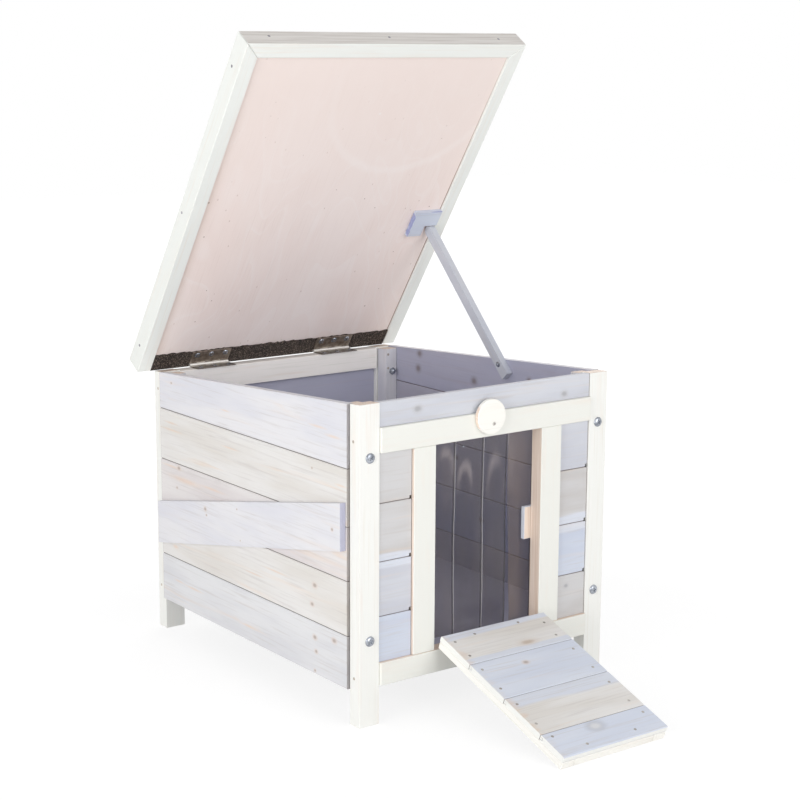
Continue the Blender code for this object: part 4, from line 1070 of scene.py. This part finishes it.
FASTENERS = {
    "ramp_nails": (nail, [(x, -s, RAMP_TOP, None) for x, s in RAMP_NAILS], "ramp", "ramp", nail_zinc),
    "roof_nails": (nail, ROOF_NAILS, "lid", "lid", roof_nail_zinc),
    "post_nails": (nail, POST_NAILS, "house", "house", house_zinc),
    "lid_hinge_screws": (
        screw, [(x, -16.6, 0, FLIP @ Matrix.Rotation(x, 4, "Z") @ WIDER) for x in HINGE_SCREWS],
        "lid", "lid", screw_zinc),
    "rail_hinge_screws": (
        screw, [(x, 480.7, 375.4, Matrix.Rotation(x + 1, 4, "Z")) for x in HINGE_SCREWS],
        "house", "house", screw_zinc),
    "curtain_pin": (nail, [(178.7, 25.0, 328.9, TO_FRONT @ PIN_SIZE)], "house", "strip_2", screw_zinc),
    "button_nail": (
        nail, [(199.5, -10.3, 361.8, TO_FRONT @ BUTTON_NAIL_SIZE)], "house", "button", nail_zinc),
    "prop_screw": (screw, [(383.4, 0, -238.6, TO_LEFT @ PROP_SCREW_SIZE)], "prop", "prop", screw_zinc),
}
for name, (master, spots_and_turns, place, body, finish) in FASTENERS.items():
    fastener = join_all([copy_of(master, name, spot, turn) for *spot, turn in spots_and_turns], name)
    set_down(fastener, place, body, finish)
for master in (nail, screw):
    bpy.data.objects.remove(master)
print(len(RAMP_NAILS), "nails hold the ramp and", 2 * len(HINGE_SCREWS), "screws the roof hinges")

# %% [markdown]
# ## The roof felt
# One sheet of felt covers the roof, folds over the rear edge and comes back a finger's width underneath,
# where the hinge leaves press on it. It grows from a thin slab: the rear strip is pulled down, then its
# inner side is pulled forward. The cut edge is ragged, which a noise pushes into its vertices.

# %% Roof felt
def runs(axis, least=0.01):
    """A test for edges that run along an axis for more than some metres."""
    return lambda edge, middle: abs(edge.verts[0].co[axis] - edge.verts[1].co[axis]) > least


def ruffle(piece, name, group, scale, strength, still):
    """Pushes a group of vertices along y by a slow noise. Where the noise is at still, nothing moves."""
    noise = bpy.data.textures.new(name, "CLOUDS")
    noise.noise_scale = scale
    use_modifier(piece, name, "DISPLACE", texture=noise, vertex_group=group.name, direction="Y",
                 strength=strength, mid_level=still)


FELT_TOP = 14.5
FELT_UNDER = 1.5
FELT_THICK = 1.7
FELT_REAR = 5.0
FELT_LAP = 23.0
felt = block("roof_felt_sheet", (-6, -519.7, FELT_TOP - FELT_THICK), (397.4, FELT_REAR, FELT_TOP))
switch("EDIT")
bpy.ops.mesh.select_all(action="SELECT")
bpy.ops.mesh.bisect(plane_co=(0, (FELT_REAR - FELT_THICK) * MM, 0), plane_no=(0, 1, 0))
pick(felt, lambda face, middle: face.normal.z < -0.9 and middle.y > (FELT_REAR - FELT_THICK) * MM)
for drop in (FELT_TOP - 2 * FELT_THICK - FELT_UNDER, FELT_THICK):
    draw_out(0, 0, -drop)
pick(felt, lambda face, middle: face.normal.y < -0.9 and middle.z < (FELT_UNDER + FELT_THICK) * MM)
draw_out(0, -(FELT_LAP + FELT_REAR - FELT_THICK), 0)
pick(felt, runs(0), "edges")
bpy.ops.mesh.subdivide(number_cuts=160)
switch("OBJECT")
lip = felt.vertex_groups.new(name="lip")
lip.add([v.index for v in felt.data.vertices if v.co.y < -0.02 and v.co.z < 0.005], 1.0, "REPLACE")
ruffle(felt, "fray", lip, 0.006, 0.006, 0.5)
set_down(felt, "lid", "lid", roof_felt("tarred_felt"))
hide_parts("lid_felt")
print("the felt has", len(felt.data.vertices), "vertices")

# %% [markdown]
# ## The door curtain
# Four soft clear strips hang from a batten over the door, side by side. Hanging plastic is never flat: it
# keeps a memory of its roll. Each strip is a thin block divided many times, held still at the top and
# pushed by a slow noise lower down. The wave only goes inwards, so the stop block stays clear.

# %% Curtain strips
# Each strip's two greys are partly its tint and partly painted shade for the dark house behind it.
THIN_TINT_AND_SHADE = (paint(80, 75, 78), paint(108, 100, 99))
DARK_TINT_AND_SHADE = (paint(64, 59, 61), paint(88, 81, 80))
WARM_TINT_AND_SHADE = (paint(112, 100, 92), paint(142, 127, 116))
STRIPS = {
    1: (120.9, 165.6, 0, (150, 300, 13, 25), THIN_TINT_AND_SHADE),
    2: (166.4, 211.6, 0, (183, 273, 11, 30), DARK_TINT_AND_SHADE),
    3: (212.4, 251.6, 0, (234, 268, 13, 37), DARK_TINT_AND_SHADE),
    4: (252.4, 295.6, 8, None, WARM_TINT_AND_SHADE),
}
STRIP_TOP, STRIP_FOOT = 344.2, 83.0
STRIP_FRONT, STRIP_BACK = 25.0, 26.2
for number, (left, right, lean, painted_glint, tint_and_shade) in STRIPS.items():
    strip = block(
        f"clear_strip_{number}", (left, STRIP_FRONT, STRIP_FOOT), (right, STRIP_BACK, STRIP_TOP))
    switch("EDIT")
    pick(strip, runs(2, 0.1), "edges")
    bpy.ops.mesh.subdivide(number_cuts=60)
    pick(strip, runs(0), "edges")
    bpy.ops.mesh.subdivide(number_cuts=9)
    switch("OBJECT")
    hang = strip.vertex_groups.new(name="hang")
    for vertex in strip.data.vertices:
        drop = (STRIP_TOP * MM - vertex.co.z) / ((STRIP_TOP - STRIP_FOOT) * MM)
        hang.add([vertex.index], min(1.0, drop * 2.2), "REPLACE")
        vertex.co.x += lean * MM * drop
    ruffle(strip, f"roll_{number}", hang, 0.09, 0.005, 0.0)
    bpy.ops.object.shade_smooth_by_angle(angle=math.radians(40))
    finish = clear_plastic(f"clear_plastic_{number}", left, right, 101 + number, painted_glint, tint_and_shade)
    set_down(strip, "house", f"strip_{number}", finish)
    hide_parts(f"curtain_strip_{number}")
print(len(STRIPS), "strips hang from", STRIP_TOP, "mm")

# %% [markdown]
# ## The floor of the studio
# The house stands on a wide sheet of paper. The camera sees it almost white, and it still takes a soft
# shadow where the posts and the ramp touch it, so that the house doesn't float.

# %% Studio floor
PAPER_SIZE = 14
PAPER_GREY = (0.88, 0.88, 0.88, 1)
PAPER_GLOW = 1.12
start_fresh()
bpy.ops.mesh.primitive_grid_add(x_subdivisions=8, y_subdivisions=8, size=PAPER_SIZE, location=(0, 0, 0))
studio_floor = bpy.context.object
studio_floor.name = "studio_floor"
floor_paper = bpy.data.materials.new("studio_paper")
floor_paper.use_nodes = True
bench["tree"] = floor_paper.node_tree
nodes = floor_paper.node_tree.nodes
nodes.remove(nodes["Principled BSDF"])
matt = step("BsdfDiffuse", {"Color": PAPER_GREY})
shine = step("Emission", {"Color": PAPER_WHITE, "Strength": PAPER_GLOW})
far = vectors("LENGTH", step("TexCoord", {}, "Object"), out="Value")
paleness = step("MapRange", {"Value": far, "From Min": 0.5, "From Max": 1.3, "To Min": 0.72})
share = sums("MULTIPLY", seen_directly(), paleness)
blend = step("MixShader", {0: share, 1: matt, 2: shine})
fill(nodes["Material Output"], {"Surface": blend})
studio_floor.data.materials.append(floor_paper)
print("the paper is", [round(c) for c in studio_floor.dimensions[:2]], "metres")

# %% [markdown]
# ## Finish
# The scene is brought up to date as the last step.

# %% The last line
bpy.context.view_layer.update()
